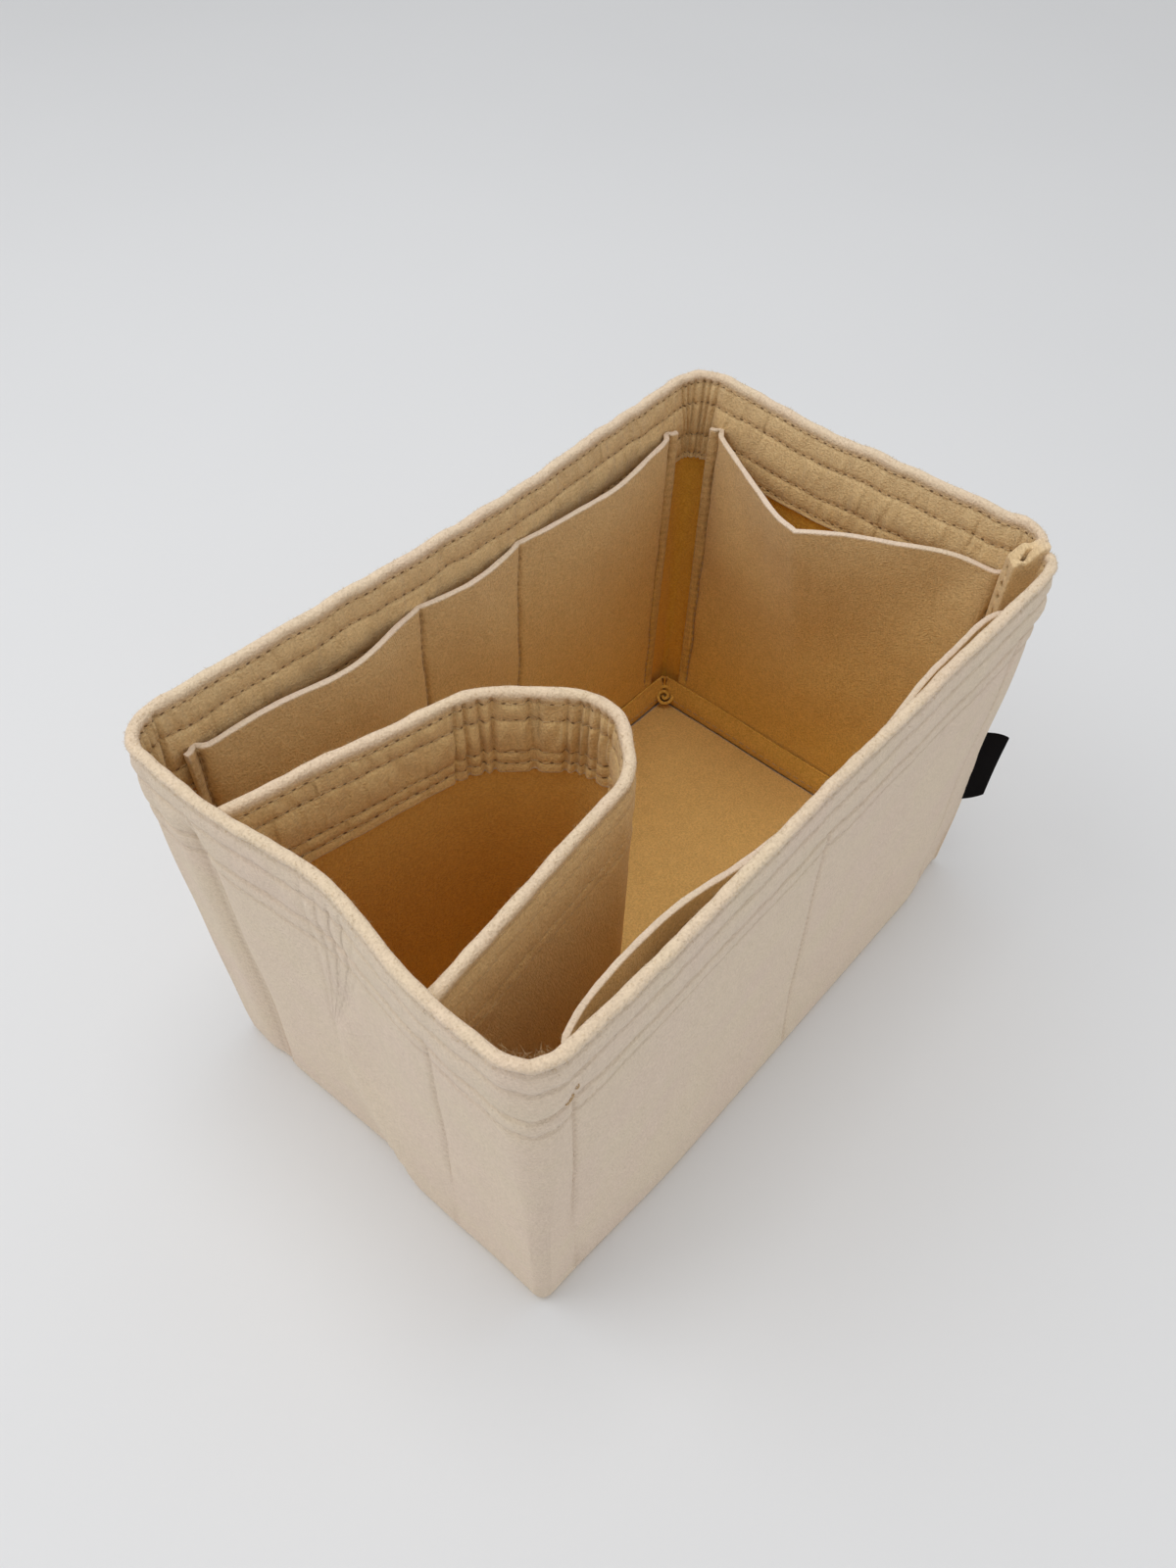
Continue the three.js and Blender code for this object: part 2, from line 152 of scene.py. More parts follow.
def corner_face(wall, turn, z, inset):
    stand, flat, corner = wall_plan(wall, z, inset)
    angle = turn * np.pi / 2
    outward = stand - corner + corner * np.cos(angle)
    return plan_point(wall, outward, flat + corner * np.sin(angle), z)


RIM_FLAT = {wall: wall_plan(wall, HEIGHT, 0)[1] for wall in (FRONT, RIGHT, BACK, LEFT)}
print("flat half lengths at the rim", [round(float(f), 1) for f in RIM_FLAT.values()])

# %% [markdown]
# The end wall with the loop was once folded along its middle. A fan of creases comes down from the
# rim, meets at half height and goes on to the floor as one ridge, where the wall steps in on its
# far side. Beside the loop's far seam the wall is turned in as a long valley. These could be
# sculpted into one mesh, but they belong to the wall itself, so a function of the place on the wall
# gives them to all its layers. Felt walls do not meet the floor in a straight line either: the
# front one stands out a little at its foot.

# %% Folds and feet of the walls
FOLD_LINE = (
    (168.0, 5.0), (150.0, 3.5), (135.0, 3.0), (110.0, -1.5), (88.0, -7.0),
    (67.0, -8.5), (43.0, -1.5), (12.6, 11.0), (0.0, 16.5),
)
FAN = ((0.0, 1.5), (-5.0, 1.2), (5.5, 1.3), (-10.0, 0.7), (10.0, 0.6))
FAN_LOW, FAN_HIGH = 74.0, 145.0
FAN_SHARE, FAN_WIDTH = 0.4, 1.3
CREST_RISE, CREST_SWELL = 1.2, 0.8
FOLD_STEP = 3.5
STEP_REACH = 1.7
STEP_PROUD = 0.25
VALLEY_LINE = ((168.0, -45.5), (0.0, -51.5))
VALLEY_DEPTH, VALLEY_SWELL = 2.0, 0.8
FRONT_FLARE = 2.8


def away_from(line, s, z):
    heights, places = zip(*line[::-1])
    return s - np.interp(z, heights, places)


def front_foot(s, z):
    """How far the foot of the front wall stands out, in millimetres."""
    along = smooth(s, -121, -50) * smooth(-s, -117, -92)
    return FRONT_FLARE * along * smooth(-z, -80, 0)


def fold_dents(s, z):
    """The fan of creases high up, and the ridge and step that go on from it to the floor."""
    away = away_from(FOLD_LINE, s, z)
    opened = np.clip((z - FAN_LOW) / (FAN_HIGH - FAN_LOW), 0, 1)
    creases = [depth * bell(away - offset * opened, FAN_WIDTH) for offset, depth in FAN]
    fan = FAN_SHARE * np.max(creases, axis=0) * smooth(z, 58, 80) * smooth(HEIGHT - z, 3, 12)
    crest = np.where(away < 1.0, smooth(away, -2.4, 1.0), bell(away - 1.0, 9.0))
    ridge = CREST_RISE * crest + CREST_SWELL * bell(away - 4.0, 8.0)
    ridge = ridge * smooth(-z, -110, -70) * smooth(z, -10, 20)
    step = FOLD_STEP * np.clip((FAN_LOW - z) / FAN_LOW, 0, 1)
    valley_foot = VALLEY_LINE[-1][1]
    to_fold = np.clip((s - valley_foot) / (s - away - valley_foot), 0, 1)
    recess = step * to_fold * smooth(-away, -STEP_REACH, STEP_REACH)
    proud = STEP_PROUD * step * bell(away - 18, 14.0) * smooth(away, -STEP_REACH, STEP_REACH)
    return ridge - fan - recess + proud


def valley_dent(s, z):
    """The long valley beside the loop's far seam, with a swelling beyond it."""
    away = away_from(VALLEY_LINE, s, z)
    valley = VALLEY_DEPTH * (bell(away + 3.0, 4.5) + bell(away, 1.0))
    valley = valley - VALLEY_SWELL * bell(away + 9.0, 5.0)
    return valley * lerp(0.5, 1.0, smooth(z, 0, 30)) * smooth(HEIGHT - z, 10, 24)


def end_wall_dents(s, z):
    """How far the end wall stands out of its plain face, in millimetres."""
    return fold_dents(s, z) - valley_dent(s, z)


print("the foot of the fold steps in by", FOLD_STEP, "mm")

# %% [markdown]
# Soft unevenness.
#
# Cloth is never even. A sum of a few plane waves with seeded directions and phases gives a smooth
# unevenness of a chosen wavelength. It is cheap, it has no grid of its own, and it is the same on
# every run.

# %% Seeded waves over a flat sheet
rng = np.random.default_rng(SEED)
WAVES = 14


def waves(x, y, length):
    """Smooth unevenness of about one unit, with a wavelength in millimetres."""
    total = np.zeros(np.broadcast_shapes(np.shape(x), np.shape(y)))
    for angle, phase, stretch in zip(
        rng.uniform(0, np.pi, WAVES),
        rng.uniform(0, 2 * np.pi, WAVES),
        rng.uniform(0.7, 1.5, WAVES),
    ):
        turn = 2 * np.pi / (length * stretch)
        total += np.sin(turn * (x * np.cos(angle) + y * np.sin(angle)) + phase)
    return total * math.sqrt(2 / WAVES)


def spread(start, end, step, fine=()):
    """Places from start to end about a step apart, with finer places round some of them."""
    places = np.linspace(start, end, max(2, int(round((end - start) / step)) + 1))
    for centre, reach, fine_step in fine:
        low, high = max(start, centre - reach), min(end, centre + reach)
        if high > low:
            inside = np.linspace(low, high, int(math.ceil((high - low) / fine_step)) + 1)
            keep = (places < low - fine_step / 2) | (places > high + fine_step / 2)
            places = np.sort(np.concatenate([places[keep], inside]))
    places[0], places[-1] = start, end
    return places


print("each unevenness is a sum of", WAVES, "waves from seed", SEED)

# %% [markdown]
# A sheet of felt.
#
# A sheet could be a plane with a Solidify modifier, but then both faces carry the same dents.
# Stitches press each face in by itself, so the helper takes the middle of the felt as a grid and
# moves the front and back faces apart along the normal, each with its own rise. Past the open edges
# it adds three shrinking rows, which make the slightly rounded nose of a cut edge. The UV map is
# the flat cloth in metres, so that stitches and fibres know where they are. Marks on the points
# tell the material where the felt keeps its pale outside cream, where seams and needle holes get
# painted shade, and where painted amber bounce light goes.

# %% The felt sheet helper
EDGE_NOSE = ((0.5, 1.0), (0.88, 0.93), (1.0, 0.65))
NOSE = len(EDGE_NOSE)
DEEPEST_SHARE = 0.9
Sheet = namedtuple("Sheet", "piece s v front normal")


def mesh_piece(name, points, quads, flat):
    mesh = bpy.data.meshes.new(name)
    mesh.vertices.add(len(points))
    mesh.vertices.foreach_set("co", (points * MM).astype(np.float32).ravel())
    mesh.loops.add(quads.size)
    mesh.loops.foreach_set("vertex_index", quads.astype(np.int32).ravel())
    mesh.polygons.add(len(quads))
    mesh.polygons.foreach_set("loop_start", np.arange(0, quads.size, 4, dtype=np.int32))
    mesh.update(calc_edges=True)
    mesh.polygons.foreach_set("use_smooth", np.ones(len(quads), dtype=bool))
    layer = mesh.uv_layers.new(name="flat")
    layer.data.foreach_set("uv", (flat[quads.ravel()] * MM).astype(np.float32).ravel())
    piece = bpy.data.objects.new(name, mesh)
    bpy.context.scene.collection.objects.link(piece)
    return piece


def nosed(grid, places, axis, half):
    """A grid lengthened past both ends of an axis, with the places and the share of thickness there."""
    grid = np.moveaxis(grid, axis, 0)
    first, last = unit(grid[0] - grid[1]), unit(grid[-1] - grid[-2])
    before = [grid[0] + first * (reach * half) for reach, _ in reversed(EDGE_NOSE)]
    after = [grid[-1] + last * (reach * half) for reach, _ in EDGE_NOSE]
    grid = np.moveaxis(np.concatenate([before, grid, after]), 0, axis)
    reaches = np.array([reach * half for reach, _ in EDGE_NOSE])
    shares = np.array([share for _, share in EDGE_NOSE])
    longer = np.concatenate([places[0] - reaches[::-1], places, places[-1] + reaches])
    share = np.concatenate([shares[::-1], np.ones(len(places)), shares])
    return grid, longer, share


def padded(values, shape):
    """Values of a sheet carried on into the nose of its edges."""
    return np.pad(np.broadcast_to(values, shape), NOSE, mode="edge")


def sheet_quads(columns, rows):
    """Quads of two faces and of the four edges that close them."""
    number = np.arange(columns * rows).reshape(columns, rows)
    other = number + columns * rows
    quads = [
        [number[:-1, :-1], number[:-1, 1:], number[1:, 1:], number[1:, :-1]],
        [other[:-1, :-1], other[1:, :-1], other[1:, 1:], other[:-1, 1:]],
        [number[:-1, 0], number[1:, 0], other[1:, 0], other[:-1, 0]],
        [number[1:, -1], number[:-1, -1], other[:-1, -1], other[1:, -1]],
        [number[0, 1:], number[0, :-1], other[0, :-1], other[0, 1:]],
        [number[-1, :-1], number[-1, 1:], other[-1, 1:], other[-1, :-1]],
    ]
    return np.concatenate([np.stack([c.ravel() for c in corners], -1) for corners in quads])


def past_ends(places, half):
    """Zero on the sheet, rising to one at the tip of the nose past both ends."""
    beyond = np.maximum(places[NOSE] - places, places - places[-NOSE - 1])
    return np.clip(beyond / half, 0, 1)


def felt_sheet(
    name, s, v, middle, front=0.0, back=0.0, thick=FELT, pale=0.0, sewn=0.0, edge=1.0, **marks
):
    """A closed sheet from the grid of its middle, (columns, rows, 3) in millimetres.

    The front looks along dv x ds. Each further mark is a pair for the front and the back."""
    shape = middle.shape[:2]
    front = padded(np.maximum(front, -DEEPEST_SHARE * np.asarray(thick)), shape)
    half = float(np.mean(thick)) / 2
    back, half_thick = padded(back, shape), padded(thick, shape) / 2
    middle, s, share_s = nosed(middle, s, 0, half)
    middle, v, share_v = nosed(middle, v, 1, half)
    normal = unit(np.cross(np.gradient(middle, axis=1), np.gradient(middle, axis=0)))
    share = np.minimum(share_s[:, None], share_v[None, :])
    face = middle + normal * ((half_thick + front) * share)[..., None]
    rear = middle - normal * ((half_thick + back) * share)[..., None]
    quads = sheet_quads(*share.shape)
    flat = np.stack(np.meshgrid(s, v, indexing="ij"), -1).reshape(-1, 2)
    points = np.concatenate([face.reshape(-1, 3), rear.reshape(-1, 3)])
    piece = mesh_piece(name, points, quads, np.concatenate([flat, flat]))
    cut_edge = smooth(np.maximum(past_ends(s, half)[:, None], past_ends(v, half)[None]), 0.2, 0.9)
    cut_edge = cut_edge * padded(edge, shape)
    # Pale keeps a face at the outside cream, out of the painted inside shade; sewn carries painted shade
    # at seams and needle holes.
    marks = {"pale": (pale, marks.pop("back_pale", 0.0)), "sewn": (sewn, 0.0), **marks}
    for label, faces in marks.items():
        faces = [padded(face_marks, shape) for face_marks in faces]
        if label == "pale":
            faces = [np.maximum(face_marks, cut_edge) for face_marks in faces]
        values = np.concatenate([face_marks.ravel() for face_marks in faces])
        mark = piece.data.attributes.new(label, "FLOAT", "POINT")
        mark.data.foreach_set("value", values.astype(np.float32))
    print(name, len(quads), "quads")
    return Sheet(piece, s, v, face, normal)


def on_sheet(sheet, s, v):
    """Points on the front of a sheet and its outward directions there, for flat places s and v."""
    s, v = np.broadcast_arrays(np.asarray(s, float), np.asarray(v, float))
    i = np.clip(np.searchsorted(sheet.s, s) - 1, 0, len(sheet.s) - 2)
    j = np.clip(np.searchsorted(sheet.v, v) - 1, 0, len(sheet.v) - 2)
    a = np.clip((s - sheet.s[i]) / (sheet.s[i + 1] - sheet.s[i]), 0, 1)[..., None]
    b = np.clip((v - sheet.v[j]) / (sheet.v[j + 1] - sheet.v[j]), 0, 1)[..., None]

    def mixed(grid):
        low = lerp(grid[i, j], grid[i + 1, j], a)
        return lerp(low, lerp(grid[i, j + 1], grid[i + 1, j + 1], a), b)

    return mixed(sheet.front), unit(mixed(sheet.normal))


print("a cut edge has", NOSE, "rows past the sheet")

# %% [markdown]
# Fibres, needle holes and the felts.
#
# Needled felt is a mat of fine fibres that lie every way in the plane of the sheet. Close by it
# shows short streaks, a fine grain and soft clouds. A photographed tile could give that, but noise
# in the flat coordinates of each sheet keeps the right scale on every piece. All the felts share
# it, so it is a node group that puts out a tone and a height.

# %% Node helpers and the fibre group
def add_node(tree, kind, **inputs):
    node = tree.nodes.new(kind)
    for name, value in inputs.items():
        node.inputs[name.replace("_", " ")].default_value = value
    return node


def math_node(tree, operation, first, second=None, third=None):
    node = tree.nodes.new("ShaderNodeMath")
    node.operation = operation
    for socket, value in zip(node.inputs, (first, second, third)):
        if isinstance(value, bpy.types.NodeSocket):
            tree.links.new(value, socket)
        elif value is not None:
            socket.default_value = value
    return node.outputs[0]


def new_group(name, inputs, outputs):
    tree = bpy.data.node_groups.new(name, "ShaderNodeTree")
    for label, kind in inputs:
        tree.interface.new_socket(label, in_out="INPUT", socket_type=kind)
    for label, kind in outputs:
        tree.interface.new_socket(label, in_out="OUTPUT", socket_type=kind)
    return tree, tree.nodes.new("NodeGroupInput"), tree.nodes.new("NodeGroupOutput")


def noise_of(tree, vector, scale, detail=2.0):
    node = add_node(tree, "ShaderNodeTexNoise", Scale=scale, Detail=detail)
    tree.links.new(vector, node.inputs["Vector"])
    return node.outputs["Fac"]


FIBRE_LAYS = (12.0, -38.0, 74.0)
FIBRE_LENGTH = 320.0
FIBRE_FINENESS = 2300.0
GRAIN_SCALE, CLOUD_SCALE = 1300.0, 150.0
STREAK_SHARE, CLOUD_SHARE = 1.2, 0.2
TONE_GAIN, TONE_SHIFT = 2.4, -2.38


def fibre_group():
    tree, given, made = new_group(
        "felt fibres",
        [("Flat", "NodeSocketVector"), ("Place", "NodeSocketVector")],
        [("Tone", "NodeSocketFloat"), ("Height", "NodeSocketFloat")],
    )
    streaks = None
    for angle in FIBRE_LAYS:
        turn = add_node(tree, "ShaderNodeMapping")
        turn.vector_type = "TEXTURE"
        turn.inputs["Rotation"].default_value = (0, 0, math.radians(angle))
        turn.inputs["Scale"].default_value = (1 / FIBRE_LENGTH, 1 / FIBRE_FINENESS, 1)
        tree.links.new(given.outputs["Flat"], turn.inputs["Vector"])
        streak = noise_of(tree, turn.outputs["Vector"], 1.0, 1.0)
        streaks = streak if streaks is None else math_node(tree, "ADD", streaks, streak)
    streaks = math_node(tree, "MULTIPLY", streaks, 1 / len(FIBRE_LAYS))
    grain = noise_of(tree, given.outputs["Place"], GRAIN_SCALE)
    clouds = noise_of(tree, given.outputs["Place"], CLOUD_SCALE)
    height = math_node(tree, "MULTIPLY_ADD", streaks, STREAK_SHARE, grain)
    tone = math_node(tree, "MULTIPLY_ADD", clouds, CLOUD_SHARE, height)
    tone = math_node(tree, "MULTIPLY_ADD", tone, TONE_GAIN, TONE_SHIFT)
    tree.links.new(tone, made.inputs["Tone"])
    tree.links.new(height, made.inputs["Height"])
    return tree


FIBRES = fibre_group()
print("fibre group of", len(FIBRES.nodes), "nodes")

# %% [markdown]
# The stitches of a hem pull the felt down into a groove with small dark holes, and the doubled felt
# between the rows puckers into upright creases. The mesh has the broad swellings. The holes and the
# sharp lines are finer than it could be, so a group works them out from the flat coordinates, as a
# mask of painted shade for the holes and dashed seams, and as a height.

# %% Holes as painted shade, grooves and puckers as a group
PITCH = 3.5
HEM_ROWS = (3.4, 12.0, 25.6, 33.8)
LOOP_ROWS = (4.2, 11.4, 25.4, 30.6)
NO_ROWS = (1e4, 1e4, 1e4, 1e4)
HOLE_LENGTH = 0.95
HOLE_WIDTH = 0.5
GROOVE_WIDTH = 1.8
INNER_GROOVE = 0.3
PUCKER_STEP = 7.0
PUCKER_LENGTH = 24.0
PUCKER_DEPTH = 0.75
PUCKER_LOSS_OUTSIDE = 0.7
PUCKER_WIDTH = 0.22
HOLE_DEPTH = 0.5


def fall_of(tree, value, near, far):
    """One at near, falling smoothly to zero at far."""
    node = add_node(tree, "ShaderNodeMapRange", From_Min=far, From_Max=near)
    node.interpolation_type = "SMOOTHSTEP"
    tree.links.new(value, node.inputs["Value"])
    return node.outputs["Result"]


def stitching_group():
    tree, given, made = new_group(
        "hem stitching",
        [("Flat", "NodeSocketVector")]
        + [(label, "NodeSocketFloat") for label in ("Outside", "Groove", "Sewn")]
        + [(f"Row {i}", "NodeSocketFloat") for i in range(len(HEM_ROWS))],
        [("Mask", "NodeSocketFloat"), ("Height", "NodeSocketFloat")],
    )
    split = add_node(tree, "ShaderNodeSeparateXYZ")
    tree.links.new(given.outputs["Flat"], split.inputs[0])
    depth = math_node(tree, "ABSOLUTE", split.outputs["Y"])
    outside = math_node(tree, "GREATER_THAN", split.outputs["Y"], 0.0)
    across = None
    for i in range(len(HEM_ROWS)):
        away = math_node(tree, "ABSOLUTE", math_node(tree, "SUBTRACT", depth, given.outputs[f"Row {i}"]))
        across = away if across is None else math_node(tree, "MINIMUM", across, away)

    along = math_node(tree, "PINGPONG", split.outputs["X"], PITCH * MM / 2)
    along = math_node(tree, "DIVIDE", along, HOLE_LENGTH * MM)
    over = math_node(tree, "DIVIDE", across, HOLE_WIDTH * MM)
    square = math_node(tree, "MULTIPLY", along, along)
    reach = math_node(tree, "SQRT", math_node(tree, "MULTIPLY_ADD", over, over, square))
    uneven = noise_of(tree, given.outputs["Flat"], 160.0, 1.0)
    # Painted shade in the needle holes of the rows.
    holes = fall_of(tree, math_node(tree, "ADD", reach, uneven), 0.6, 1.5)
    faint = math_node(tree, "SUBTRACT", given.outputs["Outside"], 1.0)
    faint = math_node(tree, "MULTIPLY_ADD", faint, outside, 1.0)
    rows = math_node(tree, "MULTIPLY", holes, faint)
    # Painted shade along upright seams, dashed at the needle holes, where the Sewn mark puts it.
    dash = math_node(tree, "PINGPONG", split.outputs["Y"], PITCH * MM / 2)
    dash = math_node(tree, "MULTIPLY_ADD", dash, 1.2 / (PITCH * MM), 0.4)
    seams = math_node(tree, "MULTIPLY", given.outputs["Sewn"], dash)
    mask = math_node(tree, "MAXIMUM", rows, seams)
    tree.links.new(mask, made.inputs["Mask"])

    turn = add_node(tree, "ShaderNodeMapping")
    turn.vector_type = "TEXTURE"
    turn.inputs["Scale"].default_value = (PUCKER_STEP * MM, PUCKER_LENGTH * MM, 1)
    tree.links.new(given.outputs["Flat"], turn.inputs["Vector"])
    level = math_node(tree, "SUBTRACT", noise_of(tree, turn.outputs["Vector"], 1.0, 1.5), 0.5)
    pucker = fall_of(tree, math_node(tree, "ABSOLUTE", level), 0.0, PUCKER_WIDTH)
    first = math_node(tree, "GREATER_THAN", depth, given.outputs["Row 0"])
    last = math_node(tree, "LESS_THAN", depth, given.outputs["Row 3"])
    pucker = math_node(tree, "MULTIPLY", pucker, math_node(tree, "MULTIPLY", first, last))
    inside_share = math_node(tree, "MULTIPLY_ADD", outside, -PUCKER_LOSS_OUTSIDE, 1.0)
    pucker = math_node(tree, "MULTIPLY", pucker, inside_share)
    groove = fall_of(tree, across, 0.0, GROOVE_WIDTH * MM)
    groove_depth = math_node(tree, "SUBTRACT", given.outputs["Groove"], INNER_GROOVE)
    groove_depth = math_node(tree, "MULTIPLY_ADD", outside, groove_depth, INNER_GROOVE)
    groove = math_node(tree, "MULTIPLY", groove, groove_depth)
    sunk = math_node(tree, "MULTIPLY_ADD", mask, HOLE_DEPTH, groove)
    sunk = math_node(tree, "MULTIPLY_ADD", pucker, PUCKER_DEPTH, sunk)
    tree.links.new(math_node(tree, "MULTIPLY", sunk, -1.0), made.inputs["Height"])
    return tree


STITCHING = stitching_group()
print("stitching group of", len(STITCHING.nodes), "nodes")

# %% [markdown]
# The felt itself is matt, with a faint sheen from the fibre ends. Its outside is a pale cream, here
# pinker and there more like straw. Inside the box the light bounces between cream walls many times
# and turns amber, far more than a renderer shows with a pale cream, so that bounce light and shade
# are painted into the colour inside: a deeper cream, darker the lower it lies, and a painted amber
# in the narrow places between two layers. Cut edges and the rolled rim keep the pale cream. One
# group mixes all these from the fibre tone.

# %% The felt's colours and its painted inside shade as a group
CREAM_DEEP = (0.725, 0.580, 0.452, 1)
CREAM_PALE = (0.840, 0.680, 0.538, 1)
STRAW_DEEP = (0.725, 0.597, 0.446, 1)
STRAW_PALE = (0.840, 0.694, 0.527, 1)
# Painted bounce light and shade for the inside of the box: a deeper cream near the top and an amber
# brown low down.
TOP_DEEP = (0.660, 0.475, 0.250, 1)
TOP_PALE = (0.860, 0.640, 0.350, 1)
LOW_DEEP = (0.670, 0.400, 0.070, 1)
LOW_PALE = (0.910, 0.570, 0.128, 1)
# Painted amber bounce light for the narrow places between two layers of felt.
PAINTED_BOUNCE_DEEP = (0.800, 0.400, 0.025, 1)
PAINTED_BOUNCE_PALE = (0.980, 0.560, 0.055, 1)
# The colour of the painted shade in needle holes and seam grooves.
PAINTED_HOLE_SHADE = (0.260, 0.140, 0.050, 1)
PATCH_SCALE = 45.0
AMBER_BELOW = 30.0
CREAM_ABOVE = 165.0


def principled(name):
    material = bpy.data.materials.new(name)
    material.use_nodes = True
    return material, material.node_tree, material.node_tree.nodes["Principled BSDF"]


def mix_colour(tree, factor, first, second):
    node = tree.nodes.new("ShaderNodeMix")
    node.data_type = "RGBA"
    tree.links.new(factor, node.inputs["Factor"])
    sockets = [socket for socket in node.inputs if socket.type == "RGBA"]
    for socket, value in zip(sockets, (first, second)):
        if isinstance(value, bpy.types.NodeSocket):
            tree.links.new(value, socket)
        else:
            socket.default_value = value
    return next(socket for socket in node.outputs if socket.type == "RGBA")


def ramp_of(tree, value, low, high):
    """A value mapped from low..high to 0..1."""
    node = add_node(tree, "ShaderNodeMapRange", From_Min=low, From_Max=high)
    tree.links.new(value, node.inputs["Value"])
    return node.outputs["Result"]


def colour_group():
    tree, given, made = new_group(
        "felt colour with painted inside shade",
        [
            ("Tone", "NodeSocketFloat"),
            ("Pale", "NodeSocketFloat"),
            ("Painted bounce", "NodeSocketFloat"),
            ("Place", "NodeSocketVector"),
        ],
        [("Colour", "NodeSocketColor")],
    )
    tone, place = given.outputs["Tone"], given.outputs["Place"]
    split = add_node(tree, "ShaderNodeSeparateXYZ")
    tree.links.new(place, split.inputs[0])
    # Painted shade inside: the lower the felt lies, the deeper and more amber its colour.
    height = ramp_of(tree, split.outputs["Z"], AMBER_BELOW * MM, CREAM_ABOVE * MM)
    low = mix_colour(tree, tone, LOW_DEEP, LOW_PALE)
    inside = mix_colour(tree, height, low, mix_colour(tree, tone, TOP_DEEP, TOP_PALE))
    amber = mix_colour(tree, tone, PAINTED_BOUNCE_DEEP, PAINTED_BOUNCE_PALE)
    inside = mix_colour(tree, given.outputs["Painted bounce"], inside, amber)
    patches = ramp_of(tree, noise_of(tree, place, PATCH_SCALE), 0.35, 0.65)
    cream = mix_colour(tree, tone, CREAM_DEEP, CREAM_PALE)
    outside = mix_colour(tree, patches, cream, mix_colour(tree, tone, STRAW_DEEP, STRAW_PALE))
    colour = mix_colour(tree, given.outputs["Pale"], inside, outside)
    tree.links.new(colour, made.inputs["Colour"])
    return tree


FELT_COLOURS_AND_PAINTED_SHADE = colour_group()
print("colour group of", len(FELT_COLOURS_AND_PAINTED_SHADE.nodes), "nodes")

# %% [markdown]
# The felts differ only in what is sewn on them: the wall has the rows of its hem and the creases of
# its fold, the loop has its own rows, and the panels have none. One image per piece could be
# painted, but one function that places the three groups with other values keeps them the same
# cloth.

# %% The felt materials
FIBRE_HEIGHT = 0.4
HOLES_OUTSIDE = 0.2
CREASE_WIDTH = 1.5
CREASE_DEPTH = 0.36


def add_group(tree, group, **inputs):
    node = tree.nodes.new("ShaderNodeGroup")
    node.node_tree = group
    for name, socket in inputs.items():
        tree.links.new(socket, node.inputs[name])
    return node


def flat_place(tree):
    node = tree.nodes.new("ShaderNodeUVMap")
    node.uv_map = "flat"
    return node.outputs["UV"]


def bumped(tree, shader, height, strength, distance):
    bump = add_node(tree, "ShaderNodeBump", Strength=strength, Distance=distance)
    tree.links.new(height, bump.inputs["Height"])
    tree.links.new(bump.outputs["Normal"], shader.inputs["Normal"])


def point_mark(tree, name):
    node = tree.nodes.new("ShaderNodeAttribute")
    node.attribute_name = name
    return node.outputs["Fac"]


def fold_height(tree):
    """Sharp creases of the end wall, from the distance to its fold that the mesh carries."""
    away, opened = point_mark(tree, "fold"), point_mark(tree, "opened")
    deepest = None
    for offset, depth in FAN:
        line = math_node(tree, "ABSOLUTE", math_node(tree, "MULTIPLY_ADD", opened, -offset, away))
        line = math_node(tree, "MULTIPLY", fall_of(tree, line, 0.0, CREASE_WIDTH), depth)
        deepest = line if deepest is None else math_node(tree, "MAXIMUM", deepest, line)
    creases = math_node(tree, "MULTIPLY", deepest, point_mark(tree, "creased"))
    return math_node(tree, "MULTIPLY", creases, -CREASE_DEPTH)


def felt_material(name, rows, groove, folded=False):
    material, tree, shader = principled(name)
    flat = flat_place(tree)
    place = tree.nodes.new("ShaderNodeTexCoord").outputs["Object"]
    fibres = add_group(tree, FIBRES, Flat=flat, Place=place)
    marks = {"Pale": point_mark(tree, "pale"), "Painted bounce": point_mark(tree, "amber")}
    colours = add_group(tree, FELT_COLOURS_AND_PAINTED_SHADE, Tone=fibres.outputs["Tone"], Place=place, **marks)
    sewn = add_group(tree, STITCHING, Flat=flat, Sewn=point_mark(tree, "sewn"))
    sewn.inputs["Outside"].default_value = HOLES_OUTSIDE
    sewn.inputs["Groove"].default_value = groove
    for i, row in enumerate(rows):
        sewn.inputs[f"Row {i}"].default_value = row * MM
    # Painted shade: holes, seams and the valley bottom darken towards a shade brown.
    colour = mix_colour(tree, sewn.outputs["Mask"], colours.outputs["Colour"], PAINTED_HOLE_SHADE)
    fibre_height, sewn_height = fibres.outputs["Height"], sewn.outputs["Height"]
    height = math_node(tree, "MULTIPLY_ADD", fibre_height, FIBRE_HEIGHT, sewn_height)
    if folded:
        height = math_node(tree, "ADD", height, fold_height(tree))
    bumped(tree, shader, height, 1.0, MM)
    tree.links.new(colour, shader.inputs["Base Color"])
    shader.inputs["Roughness"].default_value = 0.95
    shader.inputs["Specular IOR Level"].default_value = 0.15
    shader.inputs["Sheen Weight"].default_value = 0.15
    shader.inputs["Sheen Roughness"].default_value = 0.6
    return material


WALL_FELT = felt_material("cream felt of the wall", HEM_ROWS, 0.75, folded=True)
LOOP_FELT = felt_material("cream felt of the loop", LOOP_ROWS, 0.12)
PANEL_FELT = felt_material("cream felt of the panels", NO_ROWS, 0.0)
print("felt materials", WALL_FELT.name, LOOP_FELT.name, PANEL_FELT.name)

# %% [markdown]
# Sewing thread is two plies twisted together, a little paler and smoother than the felt. Its tubes
# carry flat coordinates too, so slanted waves along them draw the twist. The plies could be modelled
# one by one, but they are too fine to be seen here. Inside the box the thread gets a deeper amber
# copy as painted bounce light and shade, and the bar tack takes that copy too. The ribbon of the tag
# is black satin with fine ribs across its width.

